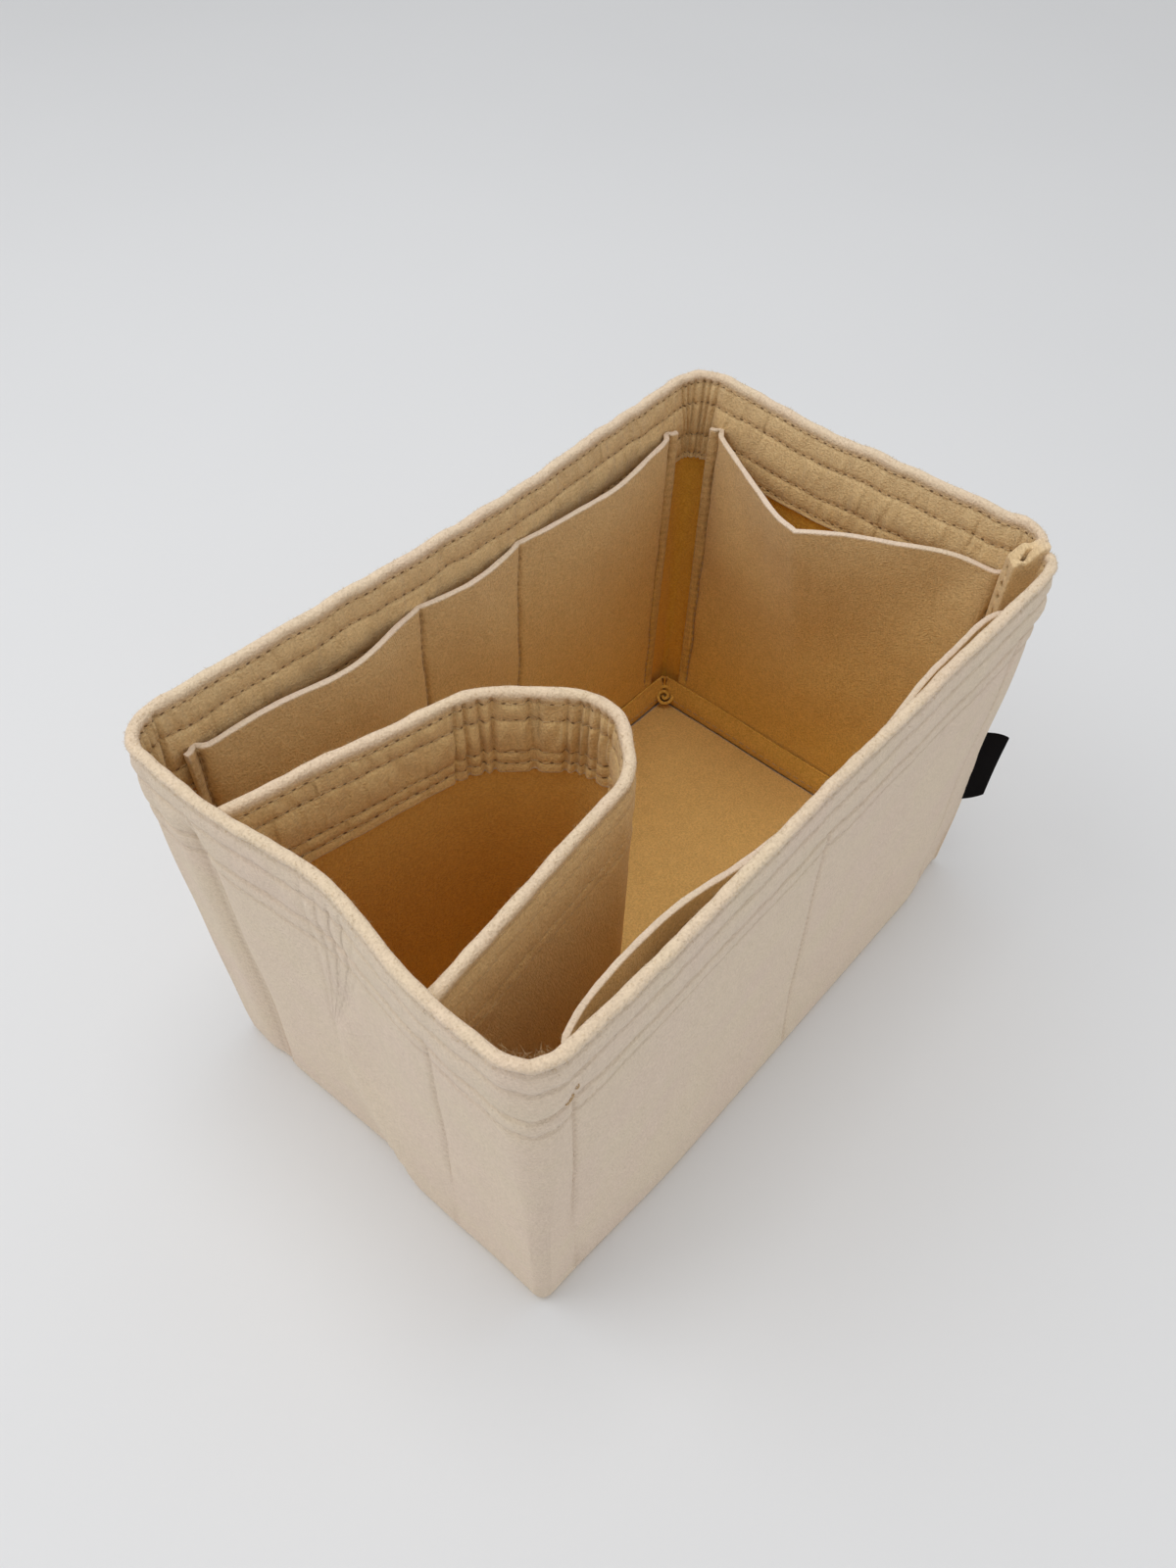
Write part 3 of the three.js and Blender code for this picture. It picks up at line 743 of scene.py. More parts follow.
# %% Thread and ribbon
# The first two colours give the thread its deeper amber copy: painted bounce light and shade inside the
# box.
THREAD_DEEP = (0.46, 0.30, 0.14, 1)
THREAD_PALE = (0.74, 0.53, 0.28, 1)
RIBBON_DEEP = (0.0012, 0.0008, 0.0008, 1)
RIBBON_PALE = (0.008, 0.0045, 0.0042, 1)
YARN_BUMP = 0.1 * MM


def thread_material(name, deep, pale):
    material, tree, shader = principled(name)
    twist = add_node(tree, "ShaderNodeTexWave", Scale=900.0, Distortion=0.4, Detail=1.0)
    twist.bands_direction = "DIAGONAL"
    tree.links.new(flat_place(tree), twist.inputs["Vector"])
    colour = mix_colour(tree, twist.outputs["Fac"], deep, pale)
    bumped(tree, shader, twist.outputs["Fac"], 0.4, YARN_BUMP)
    tree.links.new(colour, shader.inputs["Base Color"])
    shader.inputs["Roughness"].default_value = 0.7
    shader.inputs["Sheen Weight"].default_value = 0.1
    return material


def ribbon_material():
    material, tree, shader = principled("black woven ribbon")
    flat = flat_place(tree)
    ribs = add_node(tree, "ShaderNodeTexWave", Scale=700.0, Distortion=0.6, Detail=2.0)
    ribs.bands_direction = "Y"
    tree.links.new(flat, ribs.inputs["Vector"])
    yarn = add_node(tree, "ShaderNodeTexNoise", Scale=1800.0, Detail=2.0)
    tree.links.new(flat, yarn.inputs["Vector"])
    weave = math_node(tree, "MULTIPLY", ribs.outputs["Fac"], yarn.outputs["Fac"])
    colour = mix_colour(tree, weave, RIBBON_DEEP, RIBBON_PALE)
    bumped(tree, shader, weave, 0.6, YARN_BUMP)
    tree.links.new(colour, shader.inputs["Base Color"])
    gloss = math_node(tree, "MULTIPLY_ADD", weave, 0.3, 0.5)
    tree.links.new(gloss, shader.inputs["Roughness"])
    shader.inputs["Specular IOR Level"].default_value = 0.04
    return material


PALE_THREAD = thread_material("cream sewing thread", CREAM_DEEP, CREAM_PALE)
# The deeper amber copy is painted bounce light and shade for thread inside the box; the bar tack uses it
# too.
AMBER_THREAD = thread_material("sewing thread inside", THREAD_DEEP, THREAD_PALE)
RIBBON = ribbon_material()
print("thread and ribbon", PALE_THREAD.name, AMBER_THREAD.name, RIBBON.name)

# %% [markdown]
# The wall strip.
#
# The strip runs once round the box from the corner seam. Seen from its end it is a long hook: 36 mm
# of hem inside, a rolled rim, the outer face, a fold on the floor and a welt that stands up inside.
# That hook is one path with a length v, zero on top of the rim, and the mesh is that path carried
# round the plan of the box.

# %% The hook: from the hem inside, over the rim, to the welt
HEM = 36.0
WELT = 16.0
RIM_BEND = ROLL - HALF_FELT
FOLD_BEND = FOLD - HALF_FELT
RIM_TURN = np.pi * RIM_BEND / 2
FOLD_START = RIM_TURN + HEIGHT - ROLL - FOLD
FOLD_END = FOLD_START + np.pi * FOLD_BEND
WELT_END = FOLD_END + WELT - FOLD


def hook(v, top, foot_fold):
    """Inset and height of the middle of a hemmed strip, at v along its hook."""
    angle = np.clip(v / RIM_BEND, -np.pi / 2, np.pi / 2)
    inset = ROLL - RIM_BEND * np.sin(angle)
    z = top - ROLL + RIM_BEND * np.cos(angle)
    z = z + np.minimum(v + RIM_TURN, 0) - np.maximum(v - RIM_TURN, 0)
    if foot_fold:
        turn = np.clip((v - FOLD_START) / FOLD_BEND, 0, np.pi)
        folded = v > FOLD_START
        inset = np.where(folded, FOLD - FOLD_BEND * np.cos(turn), inset)
        z = np.where(folded, FOLD - FOLD_BEND * np.sin(turn) + np.maximum(v - FOLD_END, 0), z)
    return inset, z


def hem_rows_of(end, hem, rows):
    """Rows of a hemmed strip: crowded at the stitches and the roll, wider apart elsewhere."""
    inside = spread(HALF_FELT - hem, -RIM_TURN, 2.6, [(-row, 1.3, 1.3) for row in rows])
    roll = np.linspace(-RIM_TURN, RIM_TURN, 8)[1:-1]
    outside = spread(RIM_TURN, hem + 2, 3.2, [(row, 1.3, 1.3) for row in rows])
    return np.concatenate([inside, roll, outside, spread(hem + 2, end, 7.0)[1:]])


strip_v = np.concatenate([
    hem_rows_of(FOLD_START - 6, HEM, HEM_ROWS),
    spread(FOLD_START - 6, FOLD_START, 2.0)[1:],
    np.linspace(FOLD_START, FOLD_END, 8)[1:],
    spread(FOLD_END, WELT_END - HALF_FELT, 2.5)[1:],
])
strip_inset, strip_z = hook(strip_v, HEIGHT, True)
print("the hook is", round(float(WELT_END + HEM), 1), "mm long, in", len(strip_v), "rows")

# %% [markdown]
# The vertical seams that hold the pockets and the loop show outside as fine grooves, and not all of
# them are upright: a sewer follows chalk by eye. Each seam is given by its place along the wall at
# the top and at the bottom. The columns of the mesh crowd together at the seams and corners and are
# wide elsewhere.

# %% Seams, columns and the plan of the strip
SEAM_TOP = HEIGHT - 22
SEAMS = {
    FRONT: ((-112, -105.5), (-6, 7), (104, 106)),
    RIGHT: ((-59, -59), (59, 59)),
    BACK: ((-104, -104), (-21, -21), (24, 24), (107, 107)),
    LEFT: ((-47, -51), (41, 36)),
}
SEAM_GAP = 1.15
CORNER_STEP = 0.86
WALL_STEP = 2.3
SEAM_STEP = 0.75
FINE_ON_END = ((3.0, 17.0, 0.8), (-49.0, 7.0, 0.8))
CORNER_RUN = RIM_CORNER * np.pi / 2
SPANS = [(FRONT, True, 0.5, 1)]
for wall, follows in ((RIGHT, True), (BACK, True), (LEFT, True), (FRONT, False)):
    SPANS.append((wall, False, -1, 1))
    SPANS.append((wall, True, 0, 1 if follows else 0.5))



def span_places(wall, is_corner, low, high):
    """Places of the columns along one wall or corner, crowded at its ends, folds and seams."""
    if is_corner:
        return spread(low, high, CORNER_STEP)
    half = RIM_FLAT[wall]
    fine = [(0, 6, 1.2), (2 * half, 6, 1.2)]
    if wall is LEFT:
        fine += [(half + place, reach, step) for place, reach, step in FINE_ON_END]
    for top, bottom in SEAMS[wall]:
        fine.append((half + (top + bottom) / 2, abs(top - bottom) / 2 + 1.5, SEAM_STEP))
    return spread(low, high, WALL_STEP, fine)


strip_s, strip_points, wall_start = [], [], {}
run = 0.0
for wall, is_corner, start, end in SPANS:
    unit_run = CORNER_RUN if is_corner else RIM_FLAT[wall]
    length = unit_run * (end - start)
    low = SEAM_GAP if run == 0 else 0.0
    high = length - SEAM_GAP if (is_corner and end == 0.5) else length
    places = span_places(wall, is_corner, low, high)
    if strip_s:
        places = places[1:]
    t = (start + places / unit_run)[:, None]
    if is_corner:
        points = corner_face(wall, t, strip_z[None], strip_inset[None])
    else:
        wall_start[wall] = run + RIM_FLAT[wall]
        flat = wall_plan(wall, strip_z, strip_inset)[1]
        points = wall_face(wall, t * flat[None], strip_z[None], strip_inset[None])
    strip_s.append(run + places)
    strip_points.append(points)
    run += length
strip_s = np.concatenate(strip_s)
strip_middle = np.concatenate(strip_points)
STRIP_LENGTH = run
CORNERS = [wall_start[wall] + RIM_FLAT[wall] + CORNER_RUN / 2 for wall in (RIGHT, BACK, LEFT)]
print("strip of", len(strip_s), "columns,", round(run, 1), "mm round the rim")

# %% [markdown]
# Now the dents. Each row of stitches presses a groove into both faces of the hem, and between the
# rows the felt swells and puckers. Where the hem goes round a corner its inner layer has too much
# length, so it buckles into upright creases. A cloth simulation could find such creases, but not at
# the places where the real ones stand, so each kind of dent is a small function of the flat place.

# %% Grooves, puckers and creases of the strip
def row_grooves(depth, rows, width):
    return sum(bell(depth - row, width) for row in rows)


def row_swell(depth, rows):
    """One between two rows of stitches, zero on the rows and beyond them."""
    swell = np.zeros_like(depth)
    for low, high in zip(rows[:-1], rows[1:]):
        inside = (depth > low) & (depth < high)
        full = min(1.0, (high - low) / 13)
        swell = np.where(inside, full * np.sin(np.pi * (depth - low) / (high - low)), swell)
    return swell


def puckers(s, depth, rows):
    """Upright lines pressed in between the rows of stitches, each band with its own."""
    total = np.zeros(np.broadcast_shapes(s.shape, depth.shape))
    for low, high in zip(rows[:-1], rows[1:]):
        band = np.sin(np.pi * np.clip((depth - low) / (high - low), 0, 1)) ** 0.5
        place = rng.uniform(2, 8)
        while place < s.max():
            lean = rng.uniform(-0.3, 0.3)
            line = bell(s - place - lean * (depth - low), rng.uniform(1.7, 2.5))
            total = np.maximum(total, rng.uniform(0.3, 1.0) * line * band)
            place += rng.uniform(5.0, 9.0)
    return total


RIM_PRESS = 0.5
ROW_WIDTH = 1.3
GROOVE_OUTSIDE, GROOVE_INSIDE = 0.55, 0.35
SWELL_OUTSIDE, SWELL_INSIDE = 0.5, 0.7
PUCKER_OUTSIDE, PUCKER_INSIDE = 0.3, 0.9
CREASE_STEP = 4.0


def hem_relief(s, v, creases, rows, hem, outer=1.0):
    """Rise of the faces of a hem: rows pressed in, swellings and puckers between, creases inside."""
    depth = np.abs(v)
    inside = smooth(-v, 1.0, 3.0)
    in_hem = smooth(-depth, -hem - 1.0, -hem + 1.5)
    rise = 0.1 * bell(depth, 2.4) * waves(s, 0, 9.0)
    press = lerp(RIM_PRESS, 0.5 * RIM_PRESS, inside)
    rise = rise - press * smooth(depth, 0.6, 2.6) * smooth(-depth, -11, -5)
    top_groove = lerp(1.0, 0.2, inside) * row_grooves(depth, rows[:1], ROW_WIDTH)
    grooves = row_grooves(depth, rows[1:], ROW_WIDTH) + top_groove
    grooves = grooves * (1 + 0.3 * waves(s, v, 9.0))
    rise = rise - lerp(GROOVE_OUTSIDE * outer, GROOVE_INSIDE, inside) * grooves * in_hem
    swell = row_swell(depth, rows) * (1 + 0.3 * waves(s, v, 20.0))
    rise = rise + lerp(SWELL_OUTSIDE * outer, SWELL_INSIDE, inside) * swell * in_hem
    lines = puckers(s, depth, rows)
    rise = rise - lerp(PUCKER_OUTSIDE * outer, PUCKER_INSIDE, inside) * lines * in_hem
    reach = smooth(depth, 1.0, 3.5) * in_hem * inside * lerp(1.0, 1.5, smooth(depth, 8, 14))
    for place in creases:
        line = bell(s - place - rng.uniform(-0.05, 0.05) * v, rng.uniform(0.65, 0.95))
        rise = rise - rng.uniform(1.1, 1.9) * line * reach
    return rise


def row_wobble(s, v, hem):
    """How far the rows of a hem stray up and down: a sewer follows them by eye."""
    depth = np.abs(v)
    return 0.22 * waves(s, 0, 26.0) * smooth(depth, 3, 8) * smooth(-depth, -hem - 12, -hem)


def crease_places(middle, count):
    """Places of a bunch of creases round a middle, unevenly spaced."""
    even = np.arange(count) - (count - 1) / 2
    return middle + CREASE_STEP * (even + rng.uniform(-0.2, 0.2, count))


def rim_share(wall, z):
    """Length along the rim for a length along the wall at a height."""
    return RIM_FLAT[wall] / wall_plan(wall, z, 0)[1]


print("a hem is pressed in by", GROOVE_OUTSIDE, "mm outside and", GROOVE_INSIDE, "mm inside")

# %% [markdown]
# With these helpers the strip gets its own relief. Below the hem the wall has a groove at each seam
# and a soft swelling between the seams. A groove there never goes deeper than the felt allows,
# because the back of the strip would show in it. Each seam gets a little painted shade for its
# needle holes and groove, and the felt in the bottom of the long valley, where hardly any light
# comes, gets painted shade too.

# %% The relief of the strip
DEEPEST_GROOVE = 1.2
SEAM_GROOVE, SEAM_HOLLOW = 0.75, 0.35
# Strength of the painted shade at the seams and in the valley bottom.
SEAM_SHADE, VALLEY_SHADE = 0.32, 0.3
VALLEY_SEAM = SEAMS[LEFT][0]

S, V = strip_s[:, None], strip_v[None, :]
strip_creases = np.concatenate([crease_places(corner, 6) for corner in CORNERS])
strip_rise = hem_relief(S, V, strip_creases, HEM_ROWS, HEM)
below = smooth(V, HEM - 6, HEM + 6) * smooth(-V, -FOLD_START, -FOLD_START + 10)
strip_rise = strip_rise + below * 0.35 * waves(S, V, 70.0)
strip_back = -0.25 * below
strip_seam_shade = np.zeros_like(strip_rise)
for wall, seams in SEAMS.items():
    for top, bottom in seams:
        share = np.clip((SEAM_TOP - strip_z) / SEAM_TOP, 0, 1)[None]
        line = wall_start[wall] + lerp(top, bottom, share) * rim_share(wall, strip_z)[None]
        sewn = smooth(V, HEIGHT - SEAM_TOP - 2, HEIGHT - SEAM_TOP + 2) * (V < FOLD_START)
        strip_rise -= sewn * (SEAM_GROOVE * bell(S - line, 0.9) + SEAM_HOLLOW * bell(S - line, 6.0))
        # Painted shade along each seam, and in the bottom of the valley beside the loop's far seam.
        strip_seam_shade += sewn * SEAM_SHADE * bell(S - line, 0.6)
        if wall is LEFT and (top, bottom) == VALLEY_SEAM:
            strip_seam_shade += sewn * VALLEY_SHADE * bell(S - line + 3.2, 1.3)
strip_rise = np.where(V > HEM, np.maximum(strip_rise, -DEEPEST_GROOVE), strip_rise)
print("relief of the strip", strip_rise.min().round(2), "to", strip_rise.max().round(2), "mm")

# %% [markdown]
# The welt lies against the panels with a thinned edge and bunches up in the corners. The sharp
# lines in the fan of creases are finer than the mesh, so marks on its points tell the material how
# far each lies from the fold, how far the fan has opened there and where it is creased.

# %% The welt, and marks for the fold
WELT_PUFF, KNOB_PUFF = 0.5, 1.4
WELT_PRESS, KNOB_LEAN = 0.5, 2.2
THIN_EDGE = 0.25

welt_share = np.clip((V - FOLD_END) / (WELT_END - FOLD_END), 0, 1)
welt_knob = sum(bell(S - corner, 4.5) for corner in (*CORNERS, 0, STRIP_LENGTH))
welt_puff = (V > FOLD_END) * np.sin(np.pi * welt_share ** 1.3) ** 0.7
welt_puff = welt_puff * (WELT_PUFF + KNOB_PUFF * welt_knob + 0.2 * waves(S, 0, 12.0))
strip_rise = strip_rise + welt_puff
welt_lean = KNOB_LEAN * welt_knob - WELT_PRESS + 0.35 * waves(S, 0, 45.0)
welt_lean = welt_lean * smooth(V, FOLD_END - 2, WELT_END)
welt_thin = lerp(1.0, THIN_EDGE, smooth(V, WELT_END - 9, WELT_END - HALF_FELT))
end_s = (S - wall_start[LEFT]) / rim_share(LEFT, strip_z)[None]
end_z = np.broadcast_to(strip_z[None], end_s.shape)
on_end = (np.abs(end_s) < 40) & (V > 0) & (V < FOLD_START)
fold_away = away_from(FOLD_LINE, end_s, end_z)
fold_marks = {
    "fold": (np.clip(fold_away, -40, 40), 0.0),
    "opened": (np.clip((end_z - FAN_LOW) / (FAN_HIGH - FAN_LOW), 0, 1), 0.0),
    "creased": (on_end * smooth(end_z, 60, 80) * smooth(V, 4, 12), 0.0),
}
print("the welt leans", welt_lean.min().round(2), "to", welt_lean.max().round(2), "mm")

# %% [markdown]
# The rows of stitches and the rim are not quite straight, and the rim is highest at the corner
# between the loop's wall and the front. At the corner seam the allowances pull the rim in and down,
# and low down they push the corner out. Moving points by hand could do this too, but sums of smooth
# bells along the strip move all its layers together. Then the strip is ready: pale outside and over
# the rim, with painted shade inside.

# %% Rim and pulled corner, then the strip's sheet
SEAM_PULL = 4.5
SEAM_DIP = 1.8
SEAM_PEAK = 2.0
NEAR_RISE, NEAR_DIP = 2.6, 0.9
RIM_PALE = 0.75


def seam_pull(z):
    return SEAM_PULL * smooth(z, 40, HEIGHT)


def seam_peak(z):
    """How far the seam stands out of the rounded corner, low down where its allowances push it out."""
    return SEAM_PEAK * smooth(-z, -80, -25)


SEAM_IN = np.array([-1, 1, 0]) / math.sqrt(2)
SEAM_ACROSS = np.array([1, 1, 0]) / math.sqrt(2)
strip_ahead, strip_down = np.gradient(strip_middle, axis=0), np.gradient(strip_middle, axis=1)
strip_middle = strip_middle + unit(np.cross(strip_down, strip_ahead)) * welt_lean[..., None]
from_seam = np.minimum(S, STRIP_LENGTH - S)
lip = np.where(S < STRIP_LENGTH / 2, 1.1, 0.5) * bell(from_seam, 5.0)
pulled = bell(from_seam, 11.0) * seam_pull(strip_z)[None] - lip * seam_peak(strip_z)[None]
strip_middle = strip_middle + pulled[..., None] * SEAM_IN
near_corner = CORNERS[2]
rim_wave = 0.35 * waves(S, 0, 60.0) + 0.2 * waves(S, 0, 13.0) - SEAM_DIP * bell(from_seam, 3.5)
from_near = S - near_corner
rim_wave = rim_wave + NEAR_RISE * bell(from_near, 25.0) - NEAR_DIP * bell(from_near, 2.2)
strip_middle[..., 2] += row_wobble(S, V, HEM) + rim_wave * smooth(strip_z, 100, HEIGHT)[None]
strip_pale = lerp(RIM_PALE * smooth(V, -3.8, -1.2), 1.0, smooth(V, 0, 3)) * (V < FOLD_START + 2)
# The strip's front keeps the pale cream outside and over the rim; its back takes the painted inside
# shade and painted amber bounce light between layers.
wall_strip = felt_sheet(
    "felt_wall_strip", strip_s, strip_v, strip_middle, strip_rise, strip_back, FELT * welt_thin,
    pale=strip_pale, sewn=strip_seam_shade.clip(0, 1), edge=np.where(V > FOLD_END, 0.0, 0.8),
    amber=(0.0, 0.9), back_pale=smooth(-from_seam, -5, -3), **fold_marks,
)

# %% [markdown]
# The allowances in the corner seam.
#
# At the seam both ends of the strip turn inwards and lie against each other. They are raw, doubled
# in the hem, and their tops spread into a small nub at the rim. Beside the tag they stand further
# back, so that the ribbon has room to bend. Two narrow sheets, one on each side of the seam, stand
# for them.

# %% Two seam allowances
SEAM_ALLOWANCE = 8.0
TAG_ROOM = 3.0
HEM_EDGE = HEIGHT - HEM


def seam_allowance(name, side):
    below = spread(FOLD + HALF_FELT, HEM_EDGE - 6, 5.0)
    z = np.concatenate([below, spread(HEM_EDGE - 6, HEIGHT - 3.6, 1.4)[1:]])
    share = np.linspace(0, 1, 12)[:, None]
    doubled = smooth(z, HEM_EDGE - 3, HEM_EDGE + 2)
    top = smooth(z, HEM_EDGE + 14, HEIGHT)[None]
    thick = lerp(FELT, 1.75 * FELT, doubled)[None]
    start = lerp(FELT + 0.3, 2 * ROLL - 0.6, doubled)
    start = start + TAG_ROOM * smooth(z, 30, 40) * smooth(-z, -90, -80)
    depth = start + (2 * ROLL + SEAM_ALLOWANCE - 1 - start) * share
    across = side * (thick / 2 + 0.05)
    inward = depth + (seam_pull(z) - 0.5 * seam_peak(z))[None]
    middle = corner_face(FRONT, 0.5, z, 0)[None] + inward[..., None] * SEAM_IN
    middle = middle + across[..., None] * SEAM_ACROSS
    middle[..., 2] += (0.7 * waves(depth, 0, 6.0) + 2.2 * bell(share, 0.25) - 4.0 * share ** 2) * top
    outer = 0.8 * waves(depth, z, 4.5) * smooth(z, HEM_EDGE - 20, HEIGHT - 20)
    relief, back = (outer, 0 * outer) if side > 0 else (0 * outer, outer)
    nub = 0.35 * bell(share, 0.2) * top
    outermost = smooth(-share, -0.3, -0.1) * (1 - doubled)[None]
    pale = np.maximum(nub, outermost)
    marks = {"pale": pale, "edge": 0.1 + pale, "back_pale": outermost}
    return felt_sheet(name, depth[:, 0], z, middle, relief, back, thick, **marks)


allowances = [
    seam_allowance("felt_allowance_front", -1),
    seam_allowance("felt_allowance_right", 1),
]

# %% [markdown]
# In the far corner the welt has too much length for its turn. The spare felt rolls into a small
# curl there. It is a sheet of its own, wound as a spiral round a slanting line, because the strip's
# grid has no room to roll up.

# %% The curl of the welt in the far corner
CURL_TURNS = np.linspace(0.6, 3.6 * np.pi, 44)
CURL_STEP = 0.36
CURL_FELT = 1.4
CURL_PLACE = (10.8, 7.5)


def welt_curl():
    way_in = -SEAM_ACROSS
    facing = unit(way_in + np.array([0, 0, 0.9]))
    along = SEAM_IN
    across = np.cross(facing, along)
    radius = 0.5 + CURL_STEP * CURL_TURNS
    inset, z = CURL_PLACE
    middle = corner_face(RIGHT, 0.5, z, 0) + inset * way_in
    ring = np.cos(CURL_TURNS)[:, None] * along + np.sin(CURL_TURNS)[:, None] * across
    v = np.linspace(-3.0, 0.8, 6)
    run = np.concatenate([[0], np.cumsum(np.diff(CURL_TURNS) * radius[1:])])
    coil = middle + radius[:, None, None] * ring[:, None] + v[None, :, None] * facing
    return felt_sheet("felt_welt_curl", run, v, coil, 0, 0, CURL_FELT, edge=0.0)


curl = welt_curl()

# %% [markdown]
# The pocket panels.
#
# A pocket panel is one sheet with raw edges. Its foot stands in the fold of the wall strip, its
# seams hold it to the wall, and between the seams it stands off, most at the mouth. The stand-off
# could come from draping it in a simulation, but a formula keeps the panel where the frame has it.

# %% Panels that hang on a wall
SEAT_PLAIN = FELT + GAP
SEAT_HEM = 2 * ROLL + GAP
PANEL_TOP = node_box("back_pocket_panel")[1][2]
PANEL_LIP = 4.0
MOUTH_RISE = 1.2
END_PINCH = 1.7
PANEL_GROOVE, PANEL_HOLLOW = 0.9, 0.3
# Strength of the painted shade on the panel lips beyond the seams.
FLAP_SHADE = 0.3


def seat(z):
    """Inset at which a piece lies against the inside of a wall: further in where the hem is."""
    return lerp(SEAT_PLAIN, SEAT_HEM, smooth(z, HEM_EDGE - FELT - 6, HEM_EDGE - FELT))


def panel_seat(z):
    """Inset of a panel at its seams: a straight line from its foot to the hem that it crosses."""
    return lerp(SEAT_PLAIN, SEAT_HEM, np.clip((z - WELT) / (HEM_EDGE - FELT - WELT), 0, 1))


def seam_stray(z):
    """How far an upright seam strays sideways: it is sewn by eye."""
    return 0.35 * np.sin(z / 8.7) + 0.25 * np.sin(z / 3.9)


def pocket_panel(name, wall, seams, bulge, slack):
    fine = [(seam, 2.4, 0.6) for seam in seams]
    lip = PANEL_LIP - HALF_FELT
    s = spread(seams[0] - lip, seams[-1] + lip, 2.2, fine)
    foot = spread(FOLD + HALF_FELT, WELT, 4.0)
    z = np.concatenate([foot, spread(WELT, PANEL_TOP - HALF_FELT, 2.8)[1:]])
    share = np.maximum(0, (z - WELT) / (PANEL_TOP - WELT))
    S, Z = s[:, None], z[None]
    away = np.min([np.abs(S - seam) for seam in seams], axis=0)
    loose = smooth(away, 0.5, 12) * share ** 0.7
    stand = bulge(S, share[None]) + loose * slack * waves(S, Z, 48.0)
    ends = bell(S - seams[0], 1.7) + bell(S - seams[-1], 1.7)
    loose_end = bell(S - seams[0], 14.0) + bell(S - seams[-1], 14.0)
    stand = np.maximum(stand, 0) + END_PINCH * loose_end * (1 - ends) * smooth(Z, WELT + 10, PANEL_TOP)
    middle = wall_face(wall, S, Z, panel_seat(z)[None] + HALF_FELT + stand)
    middle[..., 2] += 0.4 * waves(S, 0, 40.0) * smooth(Z, 60, PANEL_TOP)
    sewn = smooth(Z, WELT, WELT + 4) * smooth(-Z, -PANEL_TOP, -PANEL_TOP + 3)
    strays = [S - seam - seam_stray(Z) for seam in seams]
    groove = sum(PANEL_GROOVE * bell(stray, 0.9) + PANEL_HOLLOW * bell(stray, 4.0) for stray in strays)
    relief = 0.07 * waves(S, Z, 9.0) - sewn * groove
    # Painted shade along each seam and on the lips beyond the outer seams.
    panel_shade = sum(bell(stray, 0.6) for stray in strays) * lerp(0.8, 1.0, ends.clip(0, 1)) * sewn
    flaps = smooth(seams[0] - S, 0.5, 1.2) + smooth(S - seams[-1], 0.5, 1.2)
    panel_shade = np.maximum(panel_shade, FLAP_SHADE * flaps * sewn)
    mouth = np.where(Z == z[-1], 1.0, 0.1)
    return felt_sheet(name, s, z, middle, relief, 0.05 * waves(S, Z, 9.0), sewn=panel_shade, edge=mouth)


def pocket_bulge(seams, pockets):
    """Stand-off of the pockets between seams, each with a depth, a lean to one side and a fullness."""
    def bulge(s, share):
        stand = np.zeros(np.broadcast_shapes(s.shape, share.shape))
        for low, high, (depth, lean, fullness) in zip(seams[:-1], seams[1:], pockets):
            t = np.clip((s - low) / (high - low), 0, 1) ** lean
            stand = stand + depth * np.sin(np.pi * t).clip(0) ** fullness * share ** MOUTH_RISE
        return stand

    return bulge


BACK_SEAMS = (-104.0, -21.0, 24.0, 107.0)
FRONT_SEAMS = (-107.0, -2.0, 104.0)
back_bulge = pocket_bulge(BACK_SEAMS, ((6.0, 1.0, 1.0), (3.8, 1.0, 1.0), (6.0, 1.0, 1.0)))
front_bulge = pocket_bulge(FRONT_SEAMS, ((9.4, 0.58, 1.0), (5.8, 2.1, 0.6)))
back_panel = pocket_panel("felt_back_pockets", BACK, BACK_SEAMS, back_bulge, 0.5)
front_panel = pocket_panel("felt_front_pockets", FRONT, FRONT_SEAMS, front_bulge, 0.5)

# %% [markdown]
# The pocket on the right end is wider than its wall. Its slack stands out at a crease down the
# middle, steep on one side and full on the other, so it has a formula of its own.

# %% The creased end pocket
END_SEAMS = (-59.0, 59.0)
END_CREASE = 4.0
END_BULGE = 31.5


def end_bulge(s, share):
    beyond = s > END_CREASE
    seam = np.where(beyond, END_SEAMS[1], END_SEAMS[0])
    t = np.clip((seam - s) / (seam - END_CREASE), 0, 1)
    t = np.where(beyond, t ** 0.9, t ** 2.2)
    blunt = 0.075 * bell(s - END_CREASE, 7.0)
    return END_BULGE * (t - blunt) * share ** 1.6


end_panel = pocket_panel("felt_end_pocket", RIGHT, END_SEAMS, end_bulge, 0.7)

# %% [markdown]
# The base.
#
# The base lies on the floor inside the fold of the strip. It is flat, with the faint waves that
# felt keeps. A plain slab would do for its shape, but as a sheet it has the same cut edges and
# fibres as the other felt.

# %% The base panel
base_half = base_high[:2] - HALF_FELT
base_y = spread(-base_half[1], base_half[1], 3.2)
base_x = spread(-base_half[0], base_half[0], 3.2)
waviness = 0.35 + 0.2 * waves(base_y[:, None], base_x[None], 55.0)
base_z = HALF_FELT + np.maximum(waviness, 0.02)
base_middle = np.stack(np.broadcast_arrays(base_x[None], base_y[:, None], base_z), -1)
base_middle[..., 1] -= front_foot(base_x, 0)[None] * smooth(-base_y, 0, base_half[1])[:, None]
base_relief = 0.05 * waves(base_y[:, None], base_x[None], 9.0)
# The base takes the painted inside shade, with a fifth of the outside cream.
base_panel = felt_sheet("felt_base", base_y, base_x, base_middle, base_relief, 0, pale=0.2)

# %% [markdown]
# The bottle loop.
#
# The loop is a second hemmed strip. It leaves the end wall, runs inwards, goes round a blunt tip
# with a cheek on each side and runs back. In plan that is a path of straight runs and round bends,
# a little different at every height, because the wall slopes. Each row of the mesh gets its own
# path, with the same number of columns in each run and bend. The far end stops short of the wall,
# which is turned in as a valley there.

